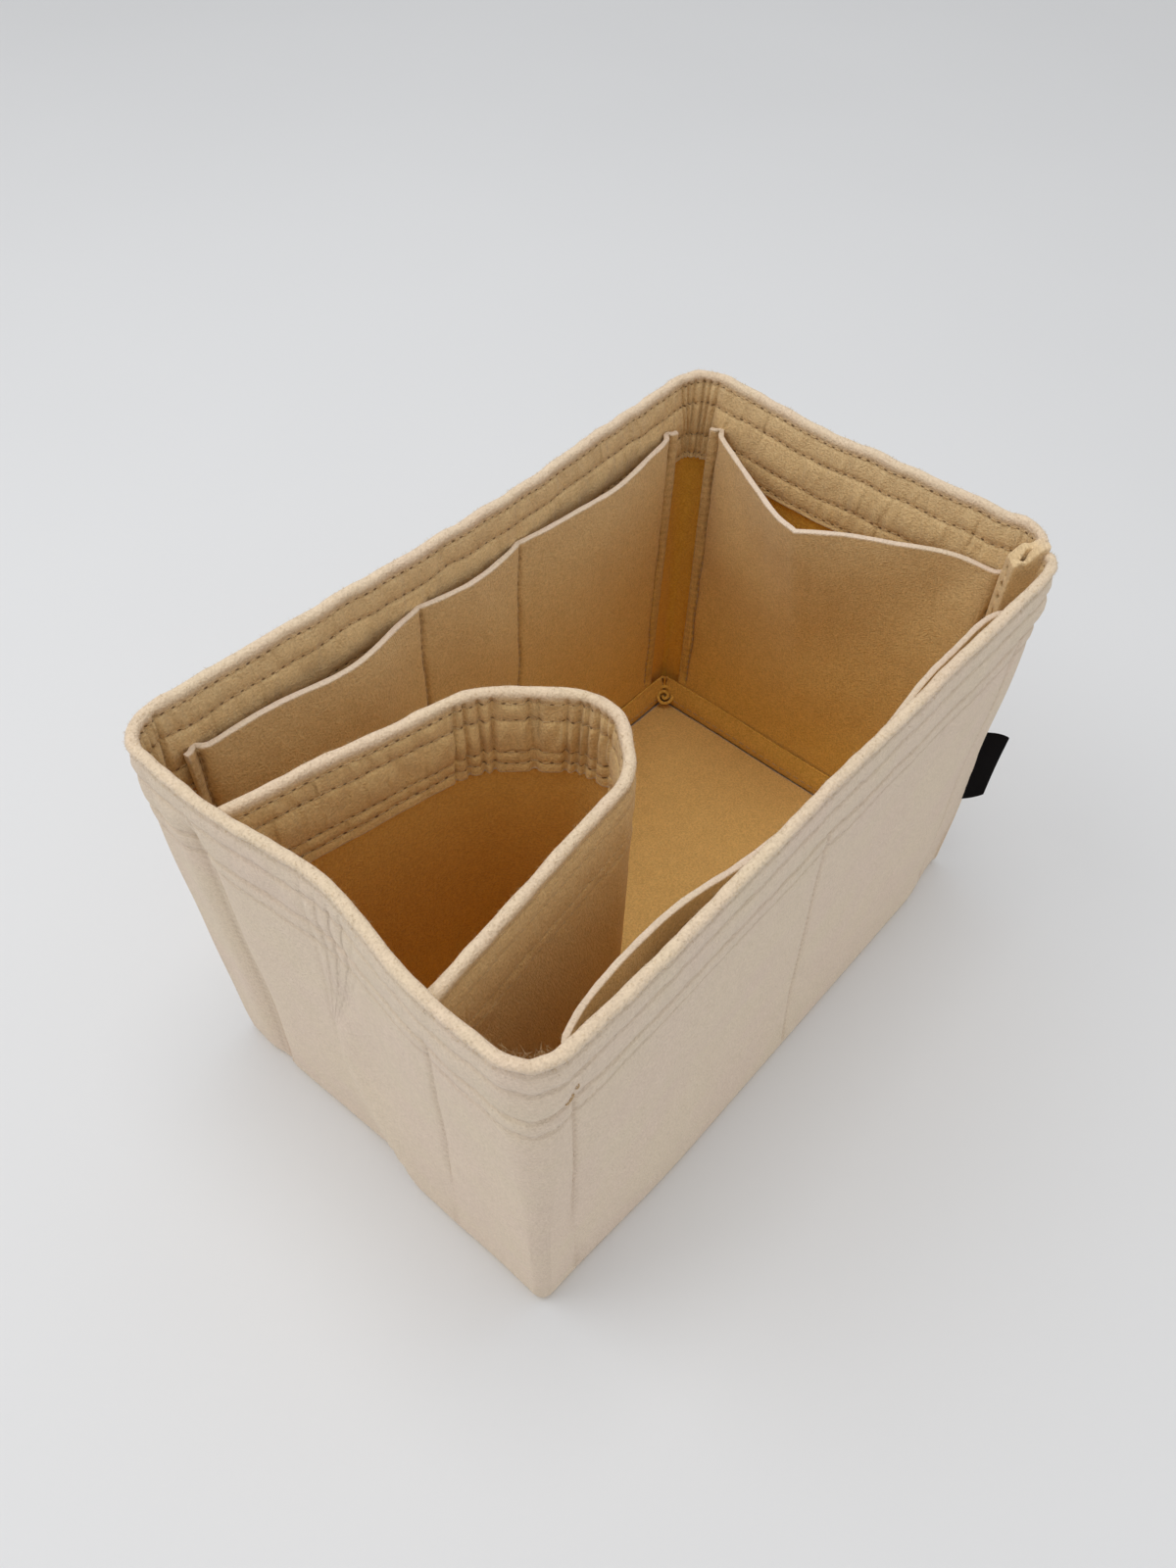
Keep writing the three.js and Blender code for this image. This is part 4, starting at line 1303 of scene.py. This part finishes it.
# %% The path of the loop in plan
loop_low, loop_high = node_box("bottle_loop")
LOOP_TOP, LOOP_FOOT = loop_high[2], loop_low[2]
LOOP_ROOTS = (-43.0, 41.0)
LOOP_HEM = 34.6
FAR_ROOT_IN = 1.7
LOOP_BENDS = ((-37.0, -33.0, 20.0), (-14.0, -8.0, 20.0), (-45.0, 25.0, 36.0))
RUN_SHARES = (
    np.linspace(0, 1, 41),
    np.linspace(0, 1, 8),
    np.linspace(0, 1, 16),
    np.linspace(0, 1, 46) ** 1.4,
)
BEND_COLUMNS = (16, 36, 30)


def loop_stops(z):
    """Points of the loop's outer face at a height, and the way into the loop at each."""
    lean = np.array(LEAN) * (z / HEIGHT) ** 2
    insets = (seat(z) - 2 * GAP, seat(z) - 2 * GAP + FAR_ROOT_IN)
    roots = [wall_face(LEFT, -y, z, inset)[:2] for y, inset in zip(LOOP_ROOTS, insets)]
    corners = [roots[0], *(np.array(bend[:2]) + lean for bend in LOOP_BENDS), roots[1]]
    heading = [unit(b - a) for a, b in zip(corners[:-1], corners[1:])]
    points, lefts = [], []
    begin = corners[0]
    for i, (way, end) in enumerate(zip(heading, corners[1:])):
        left = np.array([-way[1], way[0]])
        turn, radius = 0.0, 0.0
        if i < len(LOOP_BENDS):
            after = heading[i + 1]
            turn = math.atan2(way[0] * after[1] - way[1] * after[0], way @ after)
            radius = LOOP_BENDS[i][2]
        end = end - way * radius * math.tan(turn / 2)
        straight = lerp(begin, end, RUN_SHARES[i][:, None])
        points.append(straight[:-1] if turn else straight)
        lefts.append(np.repeat(left[None], len(points[-1]), 0))
        if turn:
            angle = np.linspace(0, turn, BEND_COLUMNS[i] + 1)[:, None]
            inward = left * np.cos(angle) - way * np.sin(angle)
            bend = end + radius * (left - inward)
            points.append(bend[:-1])
            lefts.append(inward[:-1])
            begin = bend[-1]
    return np.concatenate(points), np.concatenate(lefts)


loop_end = RIM_TURN + LOOP_TOP - ROLL - LOOP_FOOT - HALF_FELT
loop_v = hem_rows_of(loop_end, LOOP_HEM, LOOP_ROWS)
loop_inset, loop_z = hook(loop_v, LOOP_TOP, False)
stops = [loop_stops(z) for z in loop_z]
loop_rows = [points + lefts * inset for (points, lefts), inset in zip(stops, loop_inset)]
loop_x, loop_y = np.moveaxis(np.stack(loop_rows, 1), -1, 0)
loop_middle = np.stack(np.broadcast_arrays(loop_x, loop_y, loop_z[None]), -1)
top_row = int(np.argmin(np.abs(loop_v)))
loop_steps = np.linalg.norm(np.diff(stops[top_row][0], axis=0), axis=1)
loop_s = np.concatenate([[0], np.cumsum(loop_steps)])
print("loop strip", round(float(loop_s[-1]), 1), "mm long,", len(loop_s), "columns")

# %% [markdown]
# Round the tip the hem of the loop has too much length, as the hem of the box has in its corners,
# and buckles. Bunches of creases stand at the tip, at the far cheek and between them.

# %% The loop's sheet
run_columns = [len(share) - 1 for share in RUN_SHARES]
tip_start = sum(run_columns[:2]) + BEND_COLUMNS[0]
tip = loop_s[tip_start + BEND_COLUMNS[1] // 2]
far_cheek = loop_s[tip_start + BEND_COLUMNS[1] + run_columns[2] + BEND_COLUMNS[2] // 2]
loop_creases = np.concatenate([
    crease_places(tip + 2, 6),
    crease_places(lerp(tip, far_cheek, 0.55), 2),
    crease_places(far_cheek, 4),
])
loop_S, loop_V = loop_s[:, None], loop_v[None]
loop_rise = hem_relief(loop_S, loop_V, loop_creases, LOOP_ROWS, LOOP_HEM, outer=0.2)
loop_rise = loop_rise + 0.08 * waves(loop_S, loop_V, 9.0)
loop_below = smooth(loop_V, LOOP_HEM - 4, LOOP_HEM + 6)
loop_pale = RIM_PALE * smooth(-np.abs(loop_V), -3.6, -1.0)
loop_middle[..., 2] += 0.3 * waves(loop_S, 0, 45.0) * smooth(loop_z, 60, LOOP_TOP)[None]
loop_middle[..., 2] += row_wobble(loop_S, loop_V, LOOP_HEM)
loop_middle[..., 2] -= 3.0 * smooth(loop_S, far_cheek, loop_s[-1]) * smooth(-loop_V, 5, LOOP_HEM)
# The loop takes the painted inside shade, with painted amber bounce light mostly on its back against the
# wall.
bottle_loop = felt_sheet(
    "felt_bottle_loop", loop_s, loop_v, loop_middle, loop_rise, -0.2 * loop_below,
    pale=loop_pale, amber=(0.1, 0.6),
)

# %% [markdown]
# Below its hem each end of the loop turns into a flange that lies flat on the wall and is sewn
# there. The hem itself is trimmed off the flange, so that the seam stays thin, and the flange is a
# sheet of its own. The far flange bridges the narrow bottom of the wall's valley instead of
# following it.

# %% The flanges of the loop
LOOP_FLANGE = 14.0
VALLEY_BRIDGE = 1.5
FLANGE_TOP = LOOP_TOP - LOOP_HEM - 4


def loop_flange(name, root):
    s = spread(-root - LOOP_FLANGE + HALF_FELT, -root - 0.5, 1.0)
    z = spread(LOOP_FOOT + HALF_FELT, FLANGE_TOP, 4.0)
    bridge = VALLEY_BRIDGE * bell(away_from(VALLEY_LINE, s[:, None], z[None]), 2.5)
    middle = wall_face(LEFT, s[:, None], z[None], seat(z)[None] + HALF_FELT + bridge)
    return felt_sheet(name, s, z, middle, 0.06 * waves(s[:, None], z[None], 9.0), 0)


flanges = [
    loop_flange("felt_flange_near", LOOP_ROOTS[0]),
    loop_flange("felt_flange_far", LOOP_ROOTS[1]),
]

# %% [markdown]
# The ribbon tag.
#
# The tag is a ribbon folded double with its fold outwards. It rides on the hinge of the frame, so
# its shape is worked out from the hinge: its foot, its axis and the way straight out of the corner.
# A flat strip could be bent by a modifier, but a path out, round the fold and back gives the fold
# and both layers at once.

# %% The folded ribbon
hinge = frame["joints"][0]
TAG_FOOT = np.array(hinge["pos_m"]) / MM
TAG_UP = unit(np.array(hinge["axis"]))
TAG_OUT = unit(-SEAM_IN + (SEAM_IN @ TAG_UP) * TAG_UP)
TAG_ACROSS = np.cross(TAG_UP, TAG_OUT)
TAG_HEIGHT = 37.0
TAG_REACH = 11.0
TAG_RIBBON = 0.5
TAG_BEND = TAG_RIBBON / 2 + GAP / 2

tag_run = TAG_REACH - TAG_BEND - TAG_RIBBON / 2
tag_turn = np.pi * TAG_BEND
tag_s = np.concatenate([
    spread(0.2, tag_run, 0.8),
    np.linspace(tag_run, tag_run + tag_turn, 9)[1:],
    spread(tag_run + tag_turn, 2 * tag_run + tag_turn - 0.2, 0.8)[1:],
])
tag_v = spread(TAG_RIBBON / 2, TAG_HEIGHT - TAG_RIBBON / 2, 1.2)
turn = np.clip((tag_s - tag_run) / TAG_BEND, 0, np.pi)
way_back = np.maximum(tag_s - tag_run - tag_turn, 0)
reach = np.minimum(tag_s, tag_run) + TAG_BEND * np.sin(turn) - way_back
sideways = -TAG_BEND * np.cos(turn)
outer = (reach[:, None] / TAG_REACH) ** 2.5
height = TAG_HEIGHT / 2 + (tag_v[None] - TAG_HEIGHT / 2) * (1 - 0.15 * outer)
sway = 0.5 * outer * np.sin(np.pi * tag_v[None] / TAG_HEIGHT)
tag_middle = (
    TAG_FOOT
    + reach[:, None, None] * TAG_OUT
    + (sideways[:, None] + sway)[..., None] * TAG_ACROSS
    + height[..., None] * TAG_UP
)
ribbon_tag = felt_sheet("ribbon_tag", tag_s, tag_v, tag_middle, 0, 0, TAG_RIBBON)

# %% [markdown]
# Stitches.
#
# A stitch is a short bridge of thread between two needle holes. Each row of holes is a list of flat
# places on a sheet, and the thread is laid on the real surface there: down in the hole at both
# ends, a little proud between. One helper makes all the thread as four-sided tubes, which is enough
# for something half a millimetre thick.

# %% Thread on the surface of a sheet
STITCH_SHARES = np.array([0.06, 0.28, 0.72, 0.94])
STITCH_RISE = np.array([-0.3, 0.16, 0.16, -0.3])
THREAD_RADIUS = 0.21
TUBE_SIDES = 4


def tube_points(paths, ups, radius):
    """Rings of points round many short paths of equal length, (paths, stops, sides, 3)."""
    ahead = unit(np.gradient(paths, axis=1))
    side = unit(np.cross(ahead, ups))
    up = np.cross(side, ahead)
    angle = 2 * np.pi * (np.arange(TUBE_SIDES) + 0.5) / TUBE_SIDES
    ring = np.cos(angle)[:, None] * side[:, :, None] + np.sin(angle)[:, None] * up[:, :, None]
    return paths[:, :, None] + ring * np.broadcast_to(radius, paths.shape[:2])[..., None, None]


def tube_piece(name, paths, ups, radius):
    rings = tube_points(paths, ups, radius)
    count, stops = rings.shape[:2]
    number = np.arange(count * stops * TUBE_SIDES).reshape(count, stops, TUBE_SIDES)
    after = np.roll(number, -1, axis=2)
    sides = np.stack([number[:, :-1], after[:, :-1], after[:, 1:], number[:, 1:]], -1).reshape(-1, 4)
    caps = np.concatenate([number[:, 0, ::-1], number[:, -1]])
    run = np.linalg.norm(np.diff(paths, axis=1, prepend=paths[:, :1]), axis=2).cumsum(1)
    flat = np.stack(np.broadcast_arrays(run[..., None], 0.4 * np.arange(TUBE_SIDES)), -1).reshape(-1, 2)
    piece = mesh_piece(name, rings.reshape(-1, 3), np.concatenate([sides, caps]), flat)
    print(name, count, "threads")
    return piece


def stitches(sheet, holes, sunk=0.0):
    """Paths and ups of the thread between consecutive holes, (holes, 2) in flat places."""
    a, b = holes[:-1, None], holes[1:, None]
    places = lerp(a, b, STITCH_SHARES[None, :, None])
    points, ups = on_sheet(sheet, places[..., 0], places[..., 1])
    return points + ups * (STITCH_RISE - sunk)[None, :, None], ups


def thread_piece(name, rows, radius=THREAD_RADIUS):
    paths, ups = (np.concatenate(part) for part in zip(*rows))
    return tube_piece(name, paths, ups, radius)


def hole_row(start, end, depth):
    along = np.arange(math.ceil(start / PITCH), math.floor(end / PITCH) + 1) * PITCH
    return np.stack([along, np.full_like(along, depth)], -1)


def hem_stitches(sheet, start, end, rows, side, sunk):
    return [stitches(sheet, hole_row(start, end, side * row), sunk=sunk) for row in rows]


rim_inside = hem_stitches(wall_strip, 3, STRIP_LENGTH - 3, HEM_ROWS, -1, 0.1)
rim_outside = hem_stitches(wall_strip, 3, STRIP_LENGTH - 3, HEM_ROWS, 1, 0.22)
loop_inside = hem_stitches(bottle_loop, 2, loop_s[-1] - 2, LOOP_ROWS, -1, 0.1)
loop_outside = hem_stitches(bottle_loop, 2, loop_s[-1] - 2, LOOP_ROWS, 1, 0.2)
rim_thread = thread_piece("thread_rim_inside", rim_inside)
rim_thread_outside = thread_piece("thread_rim_outside", rim_outside)
loop_thread = thread_piece("thread_loop_hem", loop_inside + loop_outside)

# %% [markdown]
# The upright seams go through the wall and the panel, so they show on both. The welt is sewn round
# the base. At the top of the front wall's first seam a small bar tack shows, with loose ends, so
# its threads are laid one by one.

# %% Seam and welt stitches
WALL_THREAD, PANEL_THREAD, TACK_THREAD = 0.17, 0.19, 0.16
TACK_ENDS = (
    ((0.0, -2.2), (0.1, 2.4)),
    ((-1.5, 1.4), (0.0, -0.3)),
    ((0.0, 0.6), (1.6, 0.7)),
    ((-0.2, 2.2), (-0.9, 3.4)),
    ((0.9, -3.2), (1.9, -4.6)),
    ((1.0, -4.4), (1.6, -3.4)),
)
PANEL_SEAMS = ((back_panel, BACK_SEAMS), (front_panel, FRONT_SEAMS), (end_panel, END_SEAMS))


def panel_holes(seam):
    z = np.arange(WELT + 2, PANEL_TOP - 1, PITCH)
    return np.stack([seam + seam_stray(z), z], -1)


def outside_holes(wall, top, bottom):
    v = np.arange(HEIGHT - SEAM_TOP + 0.5, FOLD_START - 1, PITCH)
    z = hook(v, HEIGHT, True)[1]
    share = np.clip((SEAM_TOP - z) / SEAM_TOP, 0, 1)
    return np.stack([wall_start[wall] + lerp(top, bottom, share) * rim_share(wall, z), v], -1)


outside_rows = [
    stitches(wall_strip, outside_holes(wall, *seam), sunk=0.2) for wall in SEAMS for seam in SEAMS[wall]
]
panel_rows = [stitches(panel, panel_holes(seam)) for panel, seams in PANEL_SEAMS for seam in seams]
welt_rows = [stitches(wall_strip, hole_row(4, STRIP_LENGTH - 4, FOLD_END + 2.5))]
tack_place = np.array([wall_start[FRONT] + SEAMS[FRONT][0][0], HEIGHT - SEAM_TOP])
tacks = [stitches(wall_strip, tack_place + np.array(ends), sunk=-0.3) for ends in TACK_ENDS]
tack_thread = thread_piece("thread_bar_tack", tacks, TACK_THREAD)
seam_thread = thread_piece("thread_wall_seams", outside_rows, WALL_THREAD)
panel_thread = thread_piece("thread_pocket_seams", panel_rows, PANEL_THREAD)
welt_thread = thread_piece("thread_welt", welt_rows, PANEL_THREAD)

# %% [markdown]
# Fuzz.
#
# Against the light the rims show a fine fuzz of loose fibres. A hair system would do, but its
# strands would not come out as meshes, so a few thousand tapered tubes are enough: each starts in
# the felt, leans at random and bends over.

# %% Loose fibres along the rims and raw edges
RIM_FUZZ, PANEL_FUZZ, TUFT_FUZZ = 1.1, 0.9, 3.5
FUZZ_RADII = np.array([0.045, 0.035, 0.012])


def fuzz(sheet, s, v, longest):
    points, ups = on_sheet(sheet, s, v)
    count = len(s)
    lean = unit(ups + 0.54 * rng.normal(size=(count, 3)))
    bend = 0.5 * rng.normal(size=(count, 3))
    length = longest * rng.uniform(0.35, 1.0, count)[:, None]
    stops = [points - 0.15 * ups, points + 0.5 * length * lean, points + length * unit(lean + bend)]
    return np.stack(stops, 1), np.repeat(ups[:, None], 3, 1)


def rim_fuzz(sheet, count, start, end):
    return fuzz(sheet, rng.uniform(start, end, count), rng.normal(0.3, 1.9, count), RIM_FUZZ)


def along_sheet(sheet, count):
    return rng.uniform(sheet.s[NOSE], sheet.s[-NOSE - 1], count)


fuzz_rows = [
    rim_fuzz(wall_strip, 3600, 2, STRIP_LENGTH - 2),
    rim_fuzz(bottle_loop, 1300, 2, loop_s[-1] - 2),
    fuzz(wall_strip, rng.normal(near_corner, 5.0, 60), rng.uniform(-5, -1, 60), TUFT_FUZZ),
]
for sheet in allowances:
    along = along_sheet(sheet, 90)
    fuzz_rows.append(fuzz(sheet, along, HEIGHT - rng.uniform(1, 9, 90), 2.0))
for panel in (back_panel, front_panel, end_panel):
    along = along_sheet(panel, 220)
    fuzz_rows.append(fuzz(panel, along, PANEL_TOP - rng.uniform(0.0, 1.2, 220), PANEL_FUZZ))
TUFTS = ((back_panel, BACK_SEAMS[0]), (back_panel, BACK_SEAMS[-1]), (end_panel, END_SEAMS[1]))
for panel, seam in TUFTS:
    along = seam + rng.normal(0, 0.8, 14)
    fuzz_rows.append(fuzz(panel, along, np.full(14, PANEL_TOP - 0.5), TUFT_FUZZ))
felt_fuzz = thread_piece("felt_fuzz", fuzz_rows, FUZZ_RADII)

# %% [markdown]
# Floor, light and camera.
#
# The box stands on a plain pale floor, one large square with faint clouds. The floor and the lights
# are only for the picture.

# %% The floor
FLOOR_HALF = 4.0
FLOOR_PALE = (0.80, 0.81, 0.825, 1)
FLOOR_GREY = (0.76, 0.77, 0.785, 1)


def floor_material():
    material, tree, shader = principled("pale floor")
    place = tree.nodes.new("ShaderNodeTexCoord")
    noise = add_node(tree, "ShaderNodeTexNoise", Scale=3.0, Detail=3.0)
    tree.links.new(place.outputs["Object"], noise.inputs["Vector"])
    colour = mix_colour(tree, noise.outputs["Fac"], FLOOR_PALE, FLOOR_GREY)
    tree.links.new(colour, shader.inputs["Base Color"])
    shader.inputs["Roughness"].default_value = 0.7
    shader.inputs["Specular IOR Level"].default_value = 0.2
    return material


corners = FLOOR_HALF / MM * np.array([[-1, -1, 0], [1, -1, 0], [1, 1, 0], [-1, 1, 0]], float)
floor = mesh_piece("floor", corners, np.array([[0, 1, 2, 3]]), corners[:, :2])
floor.data.materials.append(floor_material())
print("floor of", 2 * FLOOR_HALF, "m")

# %% [markdown]
# The light is a soft white dome with two large lamps, one high on the left and one straight above.
# So the walls are even, the shadow falls softly to the right and the inside is lit down to the
# base. A single lamp would leave the inside dark. The camera sees a grey backdrop in place of the
# white dome.

# %% Dome and lamps
DOME_LEVEL = 0.66
BACKDROP = (0.66, 0.665, 0.67, 1)
KEY_PLACE = Vector((-0.55, 0.5, 1.15))
KEY_SIZE = 0.8
KEY_POWER = 3.2
OVERHEAD_HEIGHT = 1.3
OVERHEAD_SIZE = 0.5
OVERHEAD_POWER = 2.8

world = bpy.data.worlds.new("soft dome")
bpy.context.scene.world = world
world.use_nodes = True
sky = world.node_tree
dome = sky.nodes["Background"]
dome.inputs["Color"].default_value = (1, 1, 1, 1)
dome.inputs["Strength"].default_value = DOME_LEVEL
backdrop = add_node(sky, "ShaderNodeBackground", Color=BACKDROP, Strength=1.0)
rays = sky.nodes.new("ShaderNodeLightPath")
seen = math_node(sky, "ADD", rays.outputs["Is Camera Ray"], rays.outputs["Is Glossy Ray"])
seen = math_node(sky, "ADD", seen, rays.outputs["Is Transmission Ray"])
choose = sky.nodes.new("ShaderNodeMixShader")
sky.links.new(seen, choose.inputs[0])
sky.links.new(dome.outputs[0], choose.inputs[1])
sky.links.new(backdrop.outputs[0], choose.inputs[2])
sky.links.new(choose.outputs[0], sky.nodes["World Output"].inputs[0])


def soft_lamp(name, place, size, power):
    data = bpy.data.lights.new(name, "AREA")
    data.shape = "DISK"
    data.size = size
    data.energy = power
    lamp = bpy.data.objects.new(name, data)
    lamp.location = place
    lamp.rotation_euler = (-place).to_track_quat("-Z", "Y").to_euler()
    bpy.context.scene.collection.objects.link(lamp)


soft_lamp("key", KEY_PLACE, KEY_SIZE, KEY_POWER)
soft_lamp("overhead", Vector((0, 0, OVERHEAD_HEIGHT)), OVERHEAD_SIZE, OVERHEAD_POWER)
print("dome", DOME_LEVEL, "with lamps of", KEY_POWER, "and", OVERHEAD_POWER, "W")

# %% [markdown]
# The camera looks down steeply at a corner, with a wide lens, so the far corner of the box is much
# smaller than the near one. Its place, its aim and its slight tilt come from a fit to the corners
# of the rim and the base.

# %% The camera
EYE = Vector((-205.8, -156.4, 397.4)) * MM
AZIMUTH, ELEVATION, TILT = (math.radians(a) for a in (39.97, -49.63, 2.18))
FRAME_TALL = 1600
FOCAL_PIXELS = 1202.0

out = math.cos(ELEVATION)
ahead = Vector((out * math.cos(AZIMUTH), out * math.sin(AZIMUTH), math.sin(ELEVATION)))
level = ahead.cross(Vector((0, 0, 1))).normalized()
upright = level.cross(ahead)
right = level * math.cos(TILT) + upright * math.sin(TILT)
up = upright * math.cos(TILT) - level * math.sin(TILT)
lens = bpy.data.cameras.new("camera")
lens.sensor_width = 36.0
lens.lens = FOCAL_PIXELS / FRAME_TALL * lens.sensor_width
lens.clip_start = 0.01
camera = bpy.data.objects.new("camera", lens)
camera.matrix_world = Matrix.Translation(EYE) @ Matrix((right, up, -ahead)).transposed().to_4x4()
bpy.context.scene.collection.objects.link(camera)
bpy.context.scene.camera = camera
bpy.context.scene.view_settings.view_transform = "Standard"
print("lens", round(lens.lens, 2), "mm")

# %% [markdown]
# Dressing the frame.
#
# Every piece takes its material, rides on a body of the frame, and stands for the plain solid that
# it replaces, which is hidden.

# %% Ride and replace
def dress(piece, material, body):
    piece.data.materials.append(material)
    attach(piece, body)


def flat_size(sheet, extra=0.0):
    return ((sheet.s[-1] - sheet.s[0] + extra) * MM, (sheet.v[-1] - sheet.v[0]) * MM)


PALE_THREADS = [rim_thread_outside, seam_thread]
# Thread inside the box, and the bar tack, take the copy with painted amber shade.
AMBER_THREADS = [rim_thread, loop_thread, panel_thread, welt_thread, tack_thread]
dress(wall_strip.piece, WALL_FELT, "insert")
dress(bottle_loop.piece, LOOP_FELT, "insert")
for sheet in (base_panel, back_panel, front_panel, end_panel, *allowances, curl, *flanges):
    dress(sheet.piece, PANEL_FELT, "insert")
dress(felt_fuzz, PANEL_FELT, "insert")
for piece in PALE_THREADS:
    dress(piece, PALE_THREAD, "insert")
for piece in AMBER_THREADS:
    dress(piece, AMBER_THREAD, "insert")
dress(ribbon_tag.piece, RIBBON, "tag")

STANDS_FOR = (
    (wall_strip, "wall_strip"),
    (base_panel, "base_panel"),
    (back_panel, "back_pocket_panel"),
    (front_panel, "front_pocket_panel"),
    (end_panel, "end_pocket_panel"),
    (bottle_loop, "bottle_loop"),
    (ribbon_tag, "label_tag"),
)
for sheet, node in STANDS_FOR:
    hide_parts(node)
print("pieces that stand for a solid:", len(STANDS_FOR))

# %% [markdown]
# How large the wall strip was when it was flat, seam allowances included, is printed.

print("flat strip", np.round(flat_size(wall_strip, 2 * SEAM_ALLOWANCE), 3), "m")
